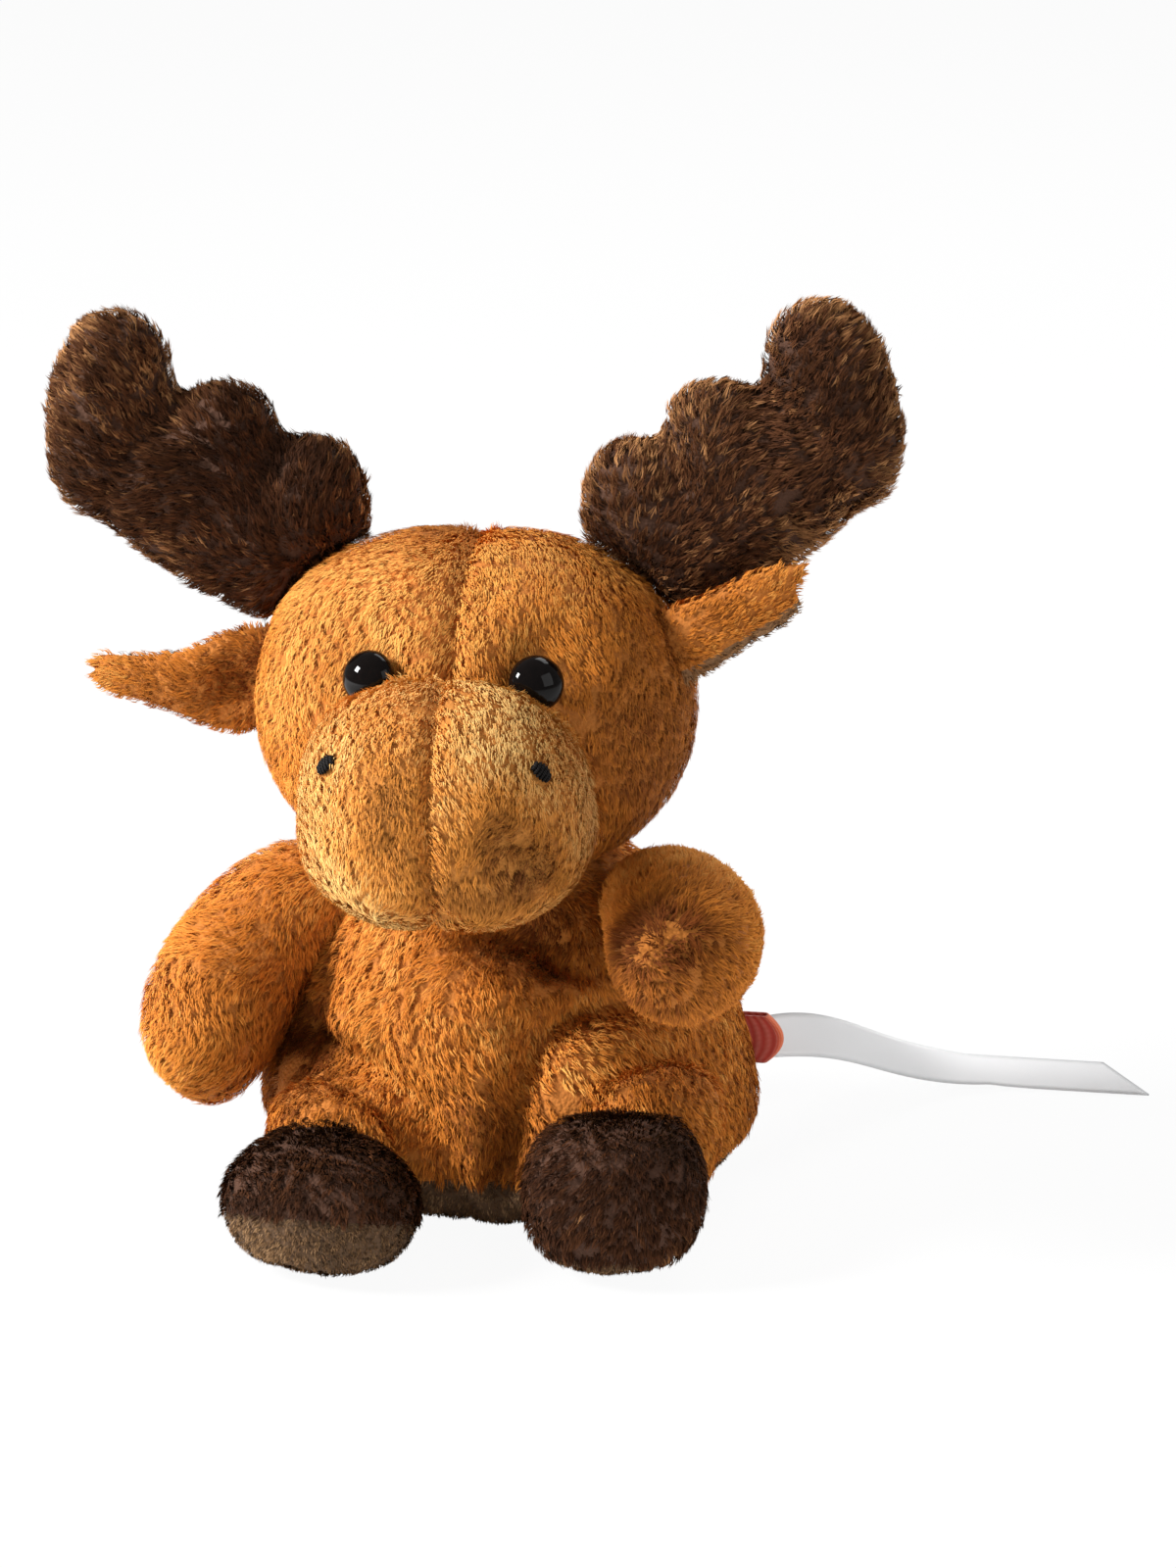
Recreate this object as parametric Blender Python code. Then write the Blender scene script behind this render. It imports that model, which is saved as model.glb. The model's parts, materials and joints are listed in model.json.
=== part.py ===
"""Small sitting stuffed moose, built as separate sewn and stuffed pieces.

Metres, Z up. The origin is on the floor under the middle of the body.
The face looks along -Y. Left and right are the toy's own: its left is +X.
"""
import math

import bmesh
import bpy
from mathutils import Matrix, Vector

# Cloth, gaps and floor
skin_thickness = 0.0010
clearance = 0.0003
floor_sink = 0.0005
merge_distance = 0.000002
beyond = 0.2000

# Body
body_half_width = 0.0256
body_half_depth = 0.0225
body_half_height = 0.0212
body_middle_back = 0.0010
body_taper_shares = (-0.24, -0.24)
body_end_powers = (3.6, 2.5)
base_seam_height = 0.0046
seam_gap = 0.0003

# Neck
neck_wad_radius = 0.0062
neck_opening_radius = 0.0074
body_opening_radius = 0.0100
neck_rise = 0.0015
head_turn_range = (-12.0, 8.0)
head_nod_range = (-5.0, 5.0)

# Head
head_half_width = 0.0240
head_half_depth = 0.0200
head_half_height = 0.0190
head_yaw = 3.0
head_shift_share = -0.10
head_forward_share = -0.31
head_overlap = 0.0030
head_taper_shares = (0.02, 0.02)
head_end_powers = (2.25, 2.2)

# Muzzle
muzzle_half_width = 0.0161
muzzle_half_height = 0.0133
muzzle_half_length = 0.0160
muzzle_shares = (-0.01, -0.96, -0.30)
muzzle_tilt = 6.0
muzzle_taper_shares = (-0.15, -0.08)
muzzle_end_powers = (2.7, 2.2)
muzzle_round_power = 2.35

# Eyes and nostrils
eye_radius = 0.0030
eye_rise = 0.0022
eye_shares = (0.368, 0.375)
shank_radius = 0.0009
shank_length = 0.0052
washer_radius = 0.0028
washer_depth = 0.0024
washer_thickness = 0.0008
washer_gap = 0.00006
nostril_half_width = 0.0011
nostril_half_height = 0.0008
nostril_rise = 0.0006
nostril_shares = (0.61, 0.66)

# Ears
ear_half_length = 0.0125
ear_half_width = 0.0060
ear_half_thickness = 0.0020
ear_end_powers = (2.4, 1.9)
ear_taper_shares = (-0.34, -0.25)
ear_right_shares = (-0.74, -0.12, 0.07)
ear_right_lean = 182.0
ear_left_shares = (0.62, -0.16, 0.20)
ear_left_lean = 33.0
ear_flap_range = (-10.0, 10.0)

# Antlers
antler_half_thickness = 0.0046
antler_root_shares = (0.55, 0.26, 0.49)
antler_palm_half_length = 0.0192
antler_palm_half_width = 0.0095
antler_right_lean = 33.0
antler_left_lean = 39.5
antler_palm_taper_shares = (0.10, 0.0)
antler_palm_powers = (2.8, 2.3)
antler_lobe_powers = (2.3, 2.4)
outer_lobe_half_length = 0.0122
outer_lobe_half_width = 0.0074
outer_lobe_turn = 66.0
outer_lobe_shares = (0.90, 0.23)
middle_lobe_half_length = 0.0078
middle_lobe_half_width = 0.0066
middle_lobe_turn = 54.0
middle_lobe_shares = (0.57, 0.66)
inner_lobe_half_length = 0.0084
inner_lobe_half_width = 0.0072
inner_lobe_turn = 52.0
inner_lobe_shares = (0.285, 0.62)
antler_bend_range = (-8.0, 8.0)

# Arms
arm_half_length = 0.0165
arm_half_width = 0.0084
arm_half_depth = 0.0082
arm_taper_shares = (0.12, 0.12)
arm_end_powers = (2.6, 2.6)
arm_bow = 0.0026
arm_right_shares = (-0.70, -0.12, 0.86)
arm_right_aim_shares = (-0.52, -0.33, -0.79)
arm_left_shares = (0.62, -0.17, 0.73)
arm_left_aim_shares = (0.25, -0.96, 0.07)
arm_lift_range = (0.0, 35.0)
arm_swing_range = (0.0, 25.0)

# Legs and feet
leg_half_length = 0.0150
leg_end_powers = (2.5, 2.5)
leg_right_half_width = 0.0102
leg_right_half_height = 0.0098
leg_right_shares = (-0.54, -0.57)
leg_right_turn = 5.0
leg_left_half_width = 0.0116
leg_left_half_height = 0.0120
leg_left_shares = (0.60, -0.38)
leg_left_turn = -2.0
foot_half_length = 0.0086
foot_end_powers = (2.5, 2.5)
foot_round_power = 2.3
foot_reach_share = 1.12
foot_right_half_width = 0.0112
foot_right_half_height = 0.0078
foot_right_turn = 16.0
foot_left_half_width = 0.0100
foot_left_half_height = 0.0095
foot_left_turn = -5.0
sole_right_height = 0.0040
sole_right_slope = 20.0
sole_left_height = 0.0018
sole_left_slope = 8.0
leg_pivot_depth_share = 0.86
leg_pivot_height_share = 0.80
leg_lift_range = (0.0, 15.0)

# Label and ribbon
label_length = 0.0050
label_height = 0.0056
label_sheet = 0.0004
label_fold = 0.0016
label_shares = (0.26, -0.22)
ribbon_width = 0.0100
ribbon_sheet = 0.0004
ribbon_length_on_floor = 0.0190
ribbon_reach = 0.0235
ribbon_back = 0.0285
ribbon_drop = 0.0030
ribbon_gap = 0.0016
ribbon_tuck = 0.0060
ribbon_roll = 16.0
ribbon_bend_share = 0.50
ribbon_fall_share = 0.70
ribbon_cut_share = 0.30
ribbon_probe_share = 0.01
ribbon_aim_shares = (0.85, 0.60)
ribbon_lift_range = (0.0, 45.0)

# How finely the round forms are drawn
large_segments = 28
large_rings = 12
limb_segments = 18
limb_rings = 9
small_segments = 16
small_rings = 8
hidden_segments = 14
hidden_rings = 8
ribbon_steps = 18
sweep_steps = 2


def clear_scene():
    """Remove everything that the scene starts with."""
    for item in list(bpy.data.objects):
        bpy.data.objects.remove(item, do_unlink=True)


def make_object(name, mesh_data):
    """Turn bmesh geometry into a named object."""
    bmesh.ops.recalc_face_normals(mesh_data, faces=mesh_data.faces)
    mesh = bpy.data.meshes.new(name)
    mesh_data.to_mesh(mesh)
    mesh_data.free()
    item = bpy.data.objects.new(name, mesh)
    bpy.context.scene.collection.objects.link(item)
    return item


def rounded(value, power):
    """Superellipse version of a sine or cosine."""
    return math.copysign(abs(value) ** (2.0 / power), value)


class Form:
    """A closed swelling form: rings along a long axis with a pole at each end."""

    def __init__(self, centre, axes, half, taper_shares=(0.0, 0.0), end_powers=(2.0, 2.0),
                 round_power=2.0, bow=0.0, segments=limb_segments, rings=limb_rings):
        self.centre = Vector(centre)
        self.side, self.depth, self.long = [Vector(axis).normalized() for axis in axes]
        self.half = half
        self.taper_shares = taper_shares
        self.end_powers = end_powers
        self.round_power = round_power
        self.bow = bow
        self.segments = segments
        self.rings = rings

    def place(self, side, depth, along):
        return self.centre + self.side * side + self.depth * depth + self.long * along

    def build(self, name, grow=0.0, hidden=False):
        """Mesh of the form, every half size larger by grow."""
        half_side, half_depth, half_long = [value + grow for value in self.half]
        segments = hidden_segments if hidden else self.segments
        rings = hidden_rings if hidden else self.rings
        data = bmesh.new()
        loops = []
        for ring in range(1, rings):
            share = -math.cos(math.pi * ring / rings)
            power = self.end_powers[0] if share < 0.0 else self.end_powers[1]
            swell = (1.0 - abs(share) ** power) ** (1.0 / power)
            side_size = half_side * swell * (1.0 + self.taper_shares[0] * share)
            depth_size = half_depth * swell * (1.0 + self.taper_shares[1] * share)
            offset = self.bow * (1.0 - share * share)
            loop = []
            for step in range(segments):
                angle = 2.0 * math.pi * (step + 0.5) / segments
                side = side_size * rounded(math.cos(angle), self.round_power)
                depth = depth_size * rounded(math.sin(angle), self.round_power)
                loop.append(data.verts.new(self.place(side + offset, depth, half_long * share)))
            loops.append(loop)
        low = data.verts.new(self.place(0.0, 0.0, -half_long))
        high = data.verts.new(self.place(0.0, 0.0, half_long))
        for first, second in zip(loops, loops[1:]):
            for step in range(segments):
                after = (step + 1) % segments
                data.faces.new((first[step], first[after], second[after], second[step]))
        for step in range(segments):
            after = (step + 1) % segments
            data.faces.new((low, loops[0][after], loops[0][step]))
            data.faces.new((high, loops[-1][step], loops[-1][after]))
        return make_object(name, data)


def remove(item):
    """Take a used cutter out of the scene."""
    mesh = item.data
    bpy.data.objects.remove(item, do_unlink=True)
    bpy.data.meshes.remove(mesh)


def combine(target, other, operation="DIFFERENCE", keep=False):
    """Apply one exact Boolean to the target."""
    other.hide_render = True
    other.display_type = "WIRE"
    step = target.modifiers.new("combine", "BOOLEAN")
    step.operation = operation
    step.solver = "EXACT"
    step.object = other
    bpy.context.view_layer.update()
    graph = bpy.context.evaluated_depsgraph_get()
    mesh = bpy.data.meshes.new_from_object(target.evaluated_get(graph))
    target.modifiers.clear()
    old = target.data
    name = old.name
    target.data = mesh
    bpy.data.meshes.remove(old)
    mesh.name = name
    if not keep:
        remove(other)
    return target


def tidy(item):
    """Merge doubled points and drop slivers left by a cut."""
    data = bmesh.new()
    data.from_mesh(item.data)
    bmesh.ops.remove_doubles(data, verts=data.verts, dist=merge_distance)
    bmesh.ops.dissolve_degenerate(data, edges=data.edges, dist=merge_distance)
    bmesh.ops.recalc_face_normals(data, faces=data.faces)
    data.to_mesh(item.data)
    data.free()
    return item


def block(name, low, high):
    """Plain box between two corners."""
    data = bmesh.new()
    bmesh.ops.create_cube(data, size=1.0)
    low = Vector(low)
    high = Vector(high)
    for point in data.verts:
        share = point.co + Vector((0.5, 0.5, 0.5))
        point.co = Vector(low[i] + (high[i] - low[i]) * share[i] for i in range(3))
    return make_object(name, data)


def drum(name, centre, axis, radius, low, high, segments=small_segments):
    """Round bar along an axis from low to high, counted from the centre."""
    data = bmesh.new()
    bmesh.ops.create_cone(data, cap_ends=True, segments=segments, radius1=radius,
                          radius2=radius, depth=high - low)
    turn = Vector((0.0, 0.0, 1.0)).rotation_difference(Vector(axis).normalized())
    middle = Vector(centre) + Vector(axis).normalized() * (low + high) / 2.0
    data.transform(Matrix.Translation(middle) @ turn.to_matrix().to_4x4())
    return make_object(name, data)


def half_space(name, point, normal):
    """Large block on the side that the normal points to."""
    item = block(name, (-beyond, -beyond, 0.0), (beyond, beyond, beyond))
    turn = Vector((0.0, 0.0, 1.0)).rotation_difference(Vector(normal).normalized())
    item.data.transform(Matrix.Translation(Vector(point)) @ turn.to_matrix().to_4x4())
    return item


def turned(item, pivot, axis, degrees):
    """Turn a mesh about an axis through the pivot."""
    pivot = Vector(pivot)
    turn = Matrix.Rotation(math.radians(degrees), 4, Vector(axis).normalized())
    item.data.transform(Matrix.Translation(pivot) @ turn @ Matrix.Translation(-pivot))
    return item


def swept_cut(item, form, pivot, axis, degrees_range, gap=clearance):
    """Cut the moving item clear of a fixed form at steps over its range."""
    low, high = degrees_range
    for step in range(sweep_steps + 1):
        degrees = low + (high - low) * step / sweep_steps
        cutter = form.build("cutter", gap)
        turned(cutter, pivot, axis, -degrees)
        combine(item, cutter)
    return item


def floor_cut(item):
    """Cut what reaches under the floor level."""
    return combine(item, half_space("floor_cutter", (0.0, 0.0, 0.0), (0.0, 0.0, -1.0)))


def shell(name, form, flat=False):
    """Cloth layer of one form, still closed."""
    outer = form.build(name)
    if flat:
        floor_cut(outer)
    return combine(outer, form.build("inner", -skin_thickness, hidden=True))


def filling(name, form):
    """Stuffing of one form, clear of its cloth."""
    return form.build(name, -(skin_thickness + clearance), hidden=True)


def surface_hit(item, origin, direction):
    """First point and normal on a mesh along a ray."""
    found, point, normal, _ = item.ray_cast(Vector(origin), Vector(direction).normalized())
    if not found:
        raise RuntimeError("ray misses " + item.name)
    return point, normal


def paint(item, colour, roughness, sheen=0.0, metallic=0.0):
    """Give an item its own material."""
    material = bpy.data.materials.new(item.name + "_material")
    material.use_nodes = True
    shader = material.node_tree.nodes["Principled BSDF"]
    shader.inputs["Base Color"].default_value = (*colour, 1.0)
    shader.inputs["Roughness"].default_value = roughness
    shader.inputs["Metallic"].default_value = metallic
    shader.inputs["Sheen Weight"].default_value = sheen
    item.data.materials.clear()
    item.data.materials.append(material)


def smooth(item):
    """Shade a round piece smooth."""
    for face in item.data.polygons:
        face.use_smooth = True


clear_scene()

# Colours, linear
plush_colour = (0.50, 0.17, 0.035)
muzzle_colour = (0.62, 0.27, 0.070)
dark_colour = (0.060, 0.022, 0.010)
sole_colour = (0.105, 0.070, 0.038)
base_colour = (0.075, 0.048, 0.028)
filling_colour = (0.85, 0.85, 0.82)
eye_colour = (0.004, 0.004, 0.004)
washer_colour = (0.70, 0.70, 0.68)
thread_colour = (0.008, 0.006, 0.005)
label_colour = (0.50, 0.035, 0.014)
ribbon_colour = (0.88, 0.88, 0.87)

across = Vector((1.0, 0.0, 0.0))
back = Vector((0.0, 1.0, 0.0))
up = Vector((0.0, 0.0, 1.0))

# Body form
body_centre = Vector((0.0, body_middle_back, body_half_height - floor_sink))
body_form = Form(body_centre, (across, back, up),
                 (body_half_width, body_half_depth, body_half_height),
                 body_taper_shares, body_end_powers,
                 segments=large_segments, rings=large_rings)


def on_body(shares):
    """Point at shares of the body's half sizes from its middle."""
    return body_centre + Vector((shares[0] * body_half_width, shares[1] * body_half_depth,
                                 shares[2] * body_half_height))


# Head form, in the head's own yawed axes
head_centre = Vector((head_shift_share * head_half_width,
                      body_middle_back + head_forward_share * head_half_depth,
                      body_centre.z + body_half_height - head_overlap + head_half_height))
yaw = Matrix.Rotation(math.radians(head_yaw), 3, "Z")
head_across = yaw @ across
head_back = yaw @ back
head_form = Form(head_centre, (head_across, head_back, up),
                 (head_half_width, head_half_depth, head_half_height),
                 head_taper_shares, head_end_powers,
                 segments=large_segments, rings=large_rings)
neck_pivot = Vector((head_centre.x, body_centre.y + (head_centre.y - body_centre.y) / 2.0,
                     body_centre.z + body_half_height - neck_rise))


def on_head(shares):
    """Point at shares of the head's half sizes from its middle."""
    return (head_centre + head_across * shares[0] * head_half_width
            + head_back * shares[1] * head_half_depth + up * shares[2] * head_half_height)


muzzle_turn = Matrix.Rotation(math.radians(muzzle_tilt), 3, head_across)
muzzle_front = muzzle_turn @ -head_back
muzzle_up = muzzle_turn @ up
muzzle_form = Form(on_head(muzzle_shares), (head_across, -muzzle_front, muzzle_up),
                   (muzzle_half_width, muzzle_half_length, muzzle_half_height),
                   muzzle_taper_shares, muzzle_end_powers, muzzle_round_power,
                   segments=large_segments, rings=large_rings)

# Body skin, base panel and body filling
body_skin = shell("body_skin", body_form, flat=True)
base_panel = shell("base_panel", body_form, flat=True)
body_fill = filling("body_fill", body_form)
combine(body_skin, half_space("cutter", (0.0, 0.0, base_seam_height + seam_gap), -up))
combine(base_panel, half_space("cutter", (0.0, 0.0, base_seam_height), up))
combine(body_skin, drum("cutter", neck_pivot, up, body_opening_radius, -body_opening_radius,
                        body_opening_radius * 2.0, large_segments))
turn_low, turn_high = head_turn_range
nod_low, nod_high = head_nod_range
for turn, nod in ((0.0, 0.0), (turn_low, 0.0), (turn_high, 0.0), (0.0, nod_low), (0.0, nod_high),
                  (turn_low, nod_low), (turn_high, nod_high)):
    for form in (head_form, muzzle_form):
        for item in (body_skin, body_fill):
            cutter = form.build("cutter", clearance)
            turned(cutter, neck_pivot, head_across, nod)
            turned(cutter, neck_pivot, up, turn)
            combine(item, cutter)

# Neck wad
wad_half = (neck_wad_radius, neck_wad_radius, neck_wad_radius)
wad_form = Form(neck_pivot, (across, back, up), wad_half, segments=small_segments, rings=small_rings)
neck_wad = wad_form.build("neck_wad")
combine(body_fill, wad_form.build("cutter", clearance))

# Head skin and filling
head_skin = shell("head_skin", head_form)
head_fill = filling("head_fill", head_form)
combine(head_skin, drum("cutter", neck_pivot, up, neck_opening_radius, -neck_opening_radius,
                        neck_opening_radius * 2.0, large_segments))
combine(head_fill, wad_form.build("cutter", clearance))

# Muzzle
muzzle_skin = shell("muzzle_skin", muzzle_form)
muzzle_fill = filling("muzzle_fill", muzzle_form)
for item in (muzzle_skin, muzzle_fill):
    combine(item, head_form.build("cutter", clearance))

# Eyes with their washers
head_probe = head_form.build("head_probe")
eyes = []
washers = []
for side_name, sign in (("right", -1.0), ("left", 1.0)):
    start = on_head((sign * eye_shares[0], 0.0, eye_shares[1])) - head_back * beyond
    point, normal = surface_hit(head_probe, start, head_back)
    rim = point + normal * clearance
    dome_axes = (normal.orthogonal(), normal.cross(normal.orthogonal()), normal)
    dome_form = Form(rim, dome_axes, (eye_radius, eye_radius, eye_rise),
                     segments=small_segments, rings=small_rings)
    eye = dome_form.build("eye_" + side_name)
    combine(eye, half_space("cutter", rim, -normal))
    shank = drum("shank", rim, normal, shank_radius, -shank_length, eye_rise / 2.0)
    combine(eye, shank, "UNION")
    hole = drum("hole", rim, normal, shank_radius + clearance / 3.0, -shank_length - clearance,
                clearance)
    combine(head_skin, hole, keep=True)
    combine(head_fill, hole)
    washer_top = -washer_depth
    washer = drum("eye_washer_" + side_name, rim, normal, washer_radius,
                  washer_top - washer_thickness, washer_top, small_segments)
    combine(washer, drum("bore", rim, normal, shank_radius + washer_gap,
                         -shank_length * 2.0, eye_rise))
    seat = drum("seat", rim, normal, washer_radius + clearance,
                washer_top - washer_thickness - clearance, eye_rise)
    combine(head_fill, seat)
    for item in (muzzle_skin, muzzle_fill):
        combine(item, dome_form.build("cutter", clearance))
    eyes.append(eye)
    washers.append(washer)

# Nostrils
muzzle_probe = muzzle_form.build("muzzle_probe")
nostrils = []
for side_name, sign in (("right", -1.0), ("left", 1.0)):
    start = (muzzle_form.centre + head_across * sign * nostril_shares[0] * muzzle_half_width
             + muzzle_up * nostril_shares[1] * muzzle_half_height + muzzle_front * beyond)
    point, normal = surface_hit(muzzle_probe, start, -muzzle_front)
    flat_side = (head_across - normal * head_across.dot(normal)).normalized()
    nostril_form = Form(point, (flat_side, normal.cross(flat_side), normal),
                        (nostril_half_width, nostril_half_height, nostril_rise + clearance),
                        segments=small_segments, rings=small_rings)
    nostril = nostril_form.build("nostril_" + side_name)
    combine(nostril, muzzle_form.build("cutter", clearance / 3.0))
    nostrils.append(nostril)
remove(muzzle_probe)


def lean_axes(lean):
    """Flat form lying in the head's front plane, long axis leaning up from across."""
    angle = math.radians(lean)
    along = head_across * math.cos(angle) + up * math.sin(angle)
    return (along.cross(head_back), head_back, along)


# Ears, each a back piece and a lining with a slit between them
ears = {}
ear_hinges = {}
for side_name, shares, lean in (("right", ear_right_shares, ear_right_lean),
                                ("left", ear_left_shares, ear_left_lean)):
    axes = lean_axes(lean)
    root = on_head(shares)
    form = Form(root + axes[2] * ear_half_length, axes,
                (ear_half_width, ear_half_thickness, ear_half_length),
                ear_taper_shares, ear_end_powers)
    start = root + axes[2] * beyond
    seat_point, _ = surface_hit(head_probe, start, -axes[2])
    ear_hinges[side_name] = (seat_point, axes[0])
    for piece_name, facing in (("ear_outer_", -head_back), ("ear_lining_", head_back)):
        piece = form.build(piece_name + side_name)
        combine(piece, half_space("cutter", root - facing * clearance / 2.0, facing))
        swept_cut(piece, head_form, seat_point, axes[0], ear_flap_range)
        ears[piece_name + side_name] = piece

# Antlers, each of one palm and three lobes
antlers = {}
antler_hinges = {}


def antler_forms(sign, palm_lean):
    """Palm and lobes of one antler, with the palm's axes."""
    def axes(turn):
        lean = palm_lean + turn
        return lean_axes(lean if sign > 0.0 else math.degrees(math.pi) - lean)
    palm_axes = axes(0.0)
    palm_up = palm_axes[0] * sign
    root = on_head((sign * antler_root_shares[0], antler_root_shares[1], antler_root_shares[2]))
    middle = root + palm_axes[2] * antler_palm_half_length
    forms = [Form(middle, palm_axes,
                  (antler_palm_half_width, antler_half_thickness, antler_palm_half_length),
                  antler_palm_taper_shares, antler_palm_powers,
                  segments=small_segments, rings=limb_rings)]
    for shares, turn, width, length in (
            (outer_lobe_shares, outer_lobe_turn, outer_lobe_half_width, outer_lobe_half_length),
            (middle_lobe_shares, middle_lobe_turn, middle_lobe_half_width,
             middle_lobe_half_length),
            (inner_lobe_shares, inner_lobe_turn, inner_lobe_half_width,
             inner_lobe_half_length)):
        centre = (root + palm_axes[2] * antler_palm_half_length * 2.0 * shares[0]
                  + palm_up * antler_palm_half_width * shares[1])
        forms.append(Form(centre, axes(turn), (width, antler_half_thickness, length),
                          end_powers=antler_lobe_powers, segments=small_segments,
                          rings=small_rings))
    return forms, root, palm_axes


def joined(name, forms, grow, hidden=False):
    """Union of several forms."""
    whole = forms[0].build(name, grow, hidden)
    for form in forms[1:]:
        combine(whole, form.build("lobe", grow, hidden), "UNION")
    return whole


for side_name, sign, palm_lean in (("right", -1.0, antler_right_lean),
                                   ("left", 1.0, antler_left_lean)):
    forms, root, palm_axes = antler_forms(sign, palm_lean)
    start = root + palm_axes[2] * beyond
    seat_point, _ = surface_hit(head_probe, start, -palm_axes[2])
    antler_hinges[side_name] = (seat_point, palm_axes[0])
    skin = joined("antler_skin_" + side_name, forms, 0.0)
    combine(skin, joined("inner", forms, -skin_thickness, hidden=True))
    fill = joined("antler_fill_" + side_name, forms, -(skin_thickness + clearance), hidden=True)
    for piece in (skin, fill):
        swept_cut(piece, head_form, seat_point, palm_axes[0], antler_bend_range)
        antlers[piece.name] = piece
remove(head_probe)

# Arms
arms = {}
arm_hinges = {}
for side_name, shares, aim_shares in (("right", arm_right_shares, arm_right_aim_shares),
                                      ("left", arm_left_shares, arm_left_aim_shares)):
    root = on_body(shares)
    aim = Vector(aim_shares).normalized()
    outward = (across if side_name == "left" else -across)
    side = (outward - aim * outward.dot(aim)).normalized()
    form = Form(root + aim * arm_half_length, (side, aim.cross(side), aim),
                (arm_half_width, arm_half_depth, arm_half_length),
                arm_taper_shares, arm_end_powers, bow=arm_bow)
    if side_name == "right":
        pivot = root + up * arm_half_width
        axis = Vector(back)
        degrees_range = arm_lift_range
    else:
        pivot = root + outward * arm_half_width
        axis = Vector(up)
        degrees_range = arm_swing_range
    arm_hinges[side_name] = (pivot, axis)
    skin = shell("arm_skin_" + side_name, form)
    fill = filling("arm_fill_" + side_name, form)
    for piece in (skin, fill):
        swept_cut(piece, body_form, pivot, axis, degrees_range)
        swept_cut(piece, head_form, pivot, axis, degrees_range)
        arms[piece.name] = piece

# Legs and feet
legs = {}
leg_hinges = {}
for side_name, sign, shares, turn, width, height, foot_turn, foot_width, foot_height, sole_height, \
        sole_slope in (
        ("right", -1.0, leg_right_shares, leg_right_turn, leg_right_half_width,
         leg_right_half_height, foot_right_turn, foot_right_half_width, foot_right_half_height,
         sole_right_height, sole_right_slope),
        ("left", 1.0, leg_left_shares, leg_left_turn, leg_left_half_width,
         leg_left_half_height, foot_left_turn, foot_left_half_width, foot_left_half_height,
         sole_left_height, sole_left_slope)):
    forward = Matrix.Rotation(math.radians(-turn), 3, "Z") @ -back
    leg_centre = on_body((shares[0], shares[1], 0.0))
    leg_centre.z = height - floor_sink
    leg_form = Form(leg_centre, (forward.cross(up), up, forward),
                    (width, height, leg_half_length), end_powers=leg_end_powers,
                    segments=limb_segments)
    toe = Matrix.Rotation(math.radians(-foot_turn), 3, "Z") @ -back
    foot_centre = leg_centre + forward * leg_half_length * foot_reach_share
    foot_centre.z = foot_height - floor_sink
    foot_form = Form(foot_centre, (toe.cross(up), up, toe),
                     (foot_width, foot_height, foot_half_length), end_powers=foot_end_powers,
                     round_power=foot_round_power)
    leg_skin = shell("leg_skin_" + side_name, leg_form, flat=True)
    combine(leg_skin, foot_form.build("cutter", clearance))
    hoof = shell("hoof_skin_" + side_name, foot_form, flat=True)
    combine(hoof, leg_form.build("cutter", -skin_thickness))
    sole = shell("sole_" + side_name, foot_form, flat=True)
    combine(sole, leg_form.build("cutter", -skin_thickness))
    slope = math.radians(sole_slope)
    tilt = up * math.cos(slope) + back * math.sin(slope)
    seam_point = Vector((foot_centre.x, foot_centre.y, sole_height))
    combine(hoof, half_space("cutter", seam_point + tilt * clearance, -tilt))
    combine(sole, half_space("cutter", seam_point, tilt))
    fill = filling("leg_fill_" + side_name, leg_form)
    combine(fill, filling("foot_fill", foot_form), "UNION")
    floor_cut(fill)
    pivot = leg_centre + up * height
    pivot.y = body_centre.y - body_half_depth * leg_pivot_depth_share
    pivot.z = leg_centre.z + height * leg_pivot_height_share
    leg_hinges[side_name] = (pivot, -across)
    for piece in (leg_skin, hoof, sole, fill):
        swept_cut(piece, body_form, pivot, -across, leg_lift_range)
        legs[piece.name] = piece

# Side label, a folded strip standing out of the side seam
body_probe = body_form.build("body_probe")
label_start = on_body((0.0, label_shares[0], label_shares[1])) + across * beyond
label_point, _ = surface_hit(body_probe, label_start, -across)
remove(body_probe)
label_inner = label_point - across * label_length
label_end = label_point + across * label_length
half_fold = label_fold / 2.0
side_label = block("side_label", (label_inner.x, label_point.y - half_fold,
                                  label_point.z - label_height / 2.0),
                   (label_end.x, label_point.y + half_fold, label_point.z + label_height / 2.0))
combine(side_label, block("slit", (label_inner.x - label_length, label_point.y - half_fold
                                   + label_sheet, label_point.z - label_height),
                          (label_end.x - label_sheet, label_point.y + half_fold - label_sheet,
                           label_point.z + label_height)))
combine(side_label, body_form.build("cutter", clearance))

# Ribbon, from the seam behind the label down to the floor
ribbon_start = (label_point + back * (ribbon_gap + ribbon_width / 2.0) - up * ribbon_drop)
touch = ribbon_start + across * ribbon_reach + back * ribbon_back
touch.z = ribbon_sheet / 2.0
leave_aim = (across + back).normalized()
land_aim = (across * ribbon_aim_shares[0] + back * ribbon_aim_shares[1]).normalized()
control_a = ribbon_start + leave_aim * ribbon_back * ribbon_bend_share
control_b = touch - land_aim * ribbon_back * ribbon_bend_share
ribbon_end = touch + across * ribbon_length_on_floor
ribbon_tucked = ribbon_start - leave_aim * ribbon_tuck
ribbon_axis = (across * ribbon_reach + back * ribbon_back).normalized().cross(up)


def ribbon_point(share):
    """Centre line: a falling curve, then straight along the floor."""
    if share >= ribbon_fall_share:
        rest = (share - ribbon_fall_share) / (1.0 - ribbon_fall_share)
        return touch + (ribbon_end - touch) * rest
    step = share / ribbon_fall_share
    other = 1.0 - step
    return (ribbon_start * other ** 3 + control_a * 3.0 * other * other * step
            + control_b * 3.0 * other * step * step + touch * step ** 3)


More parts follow.
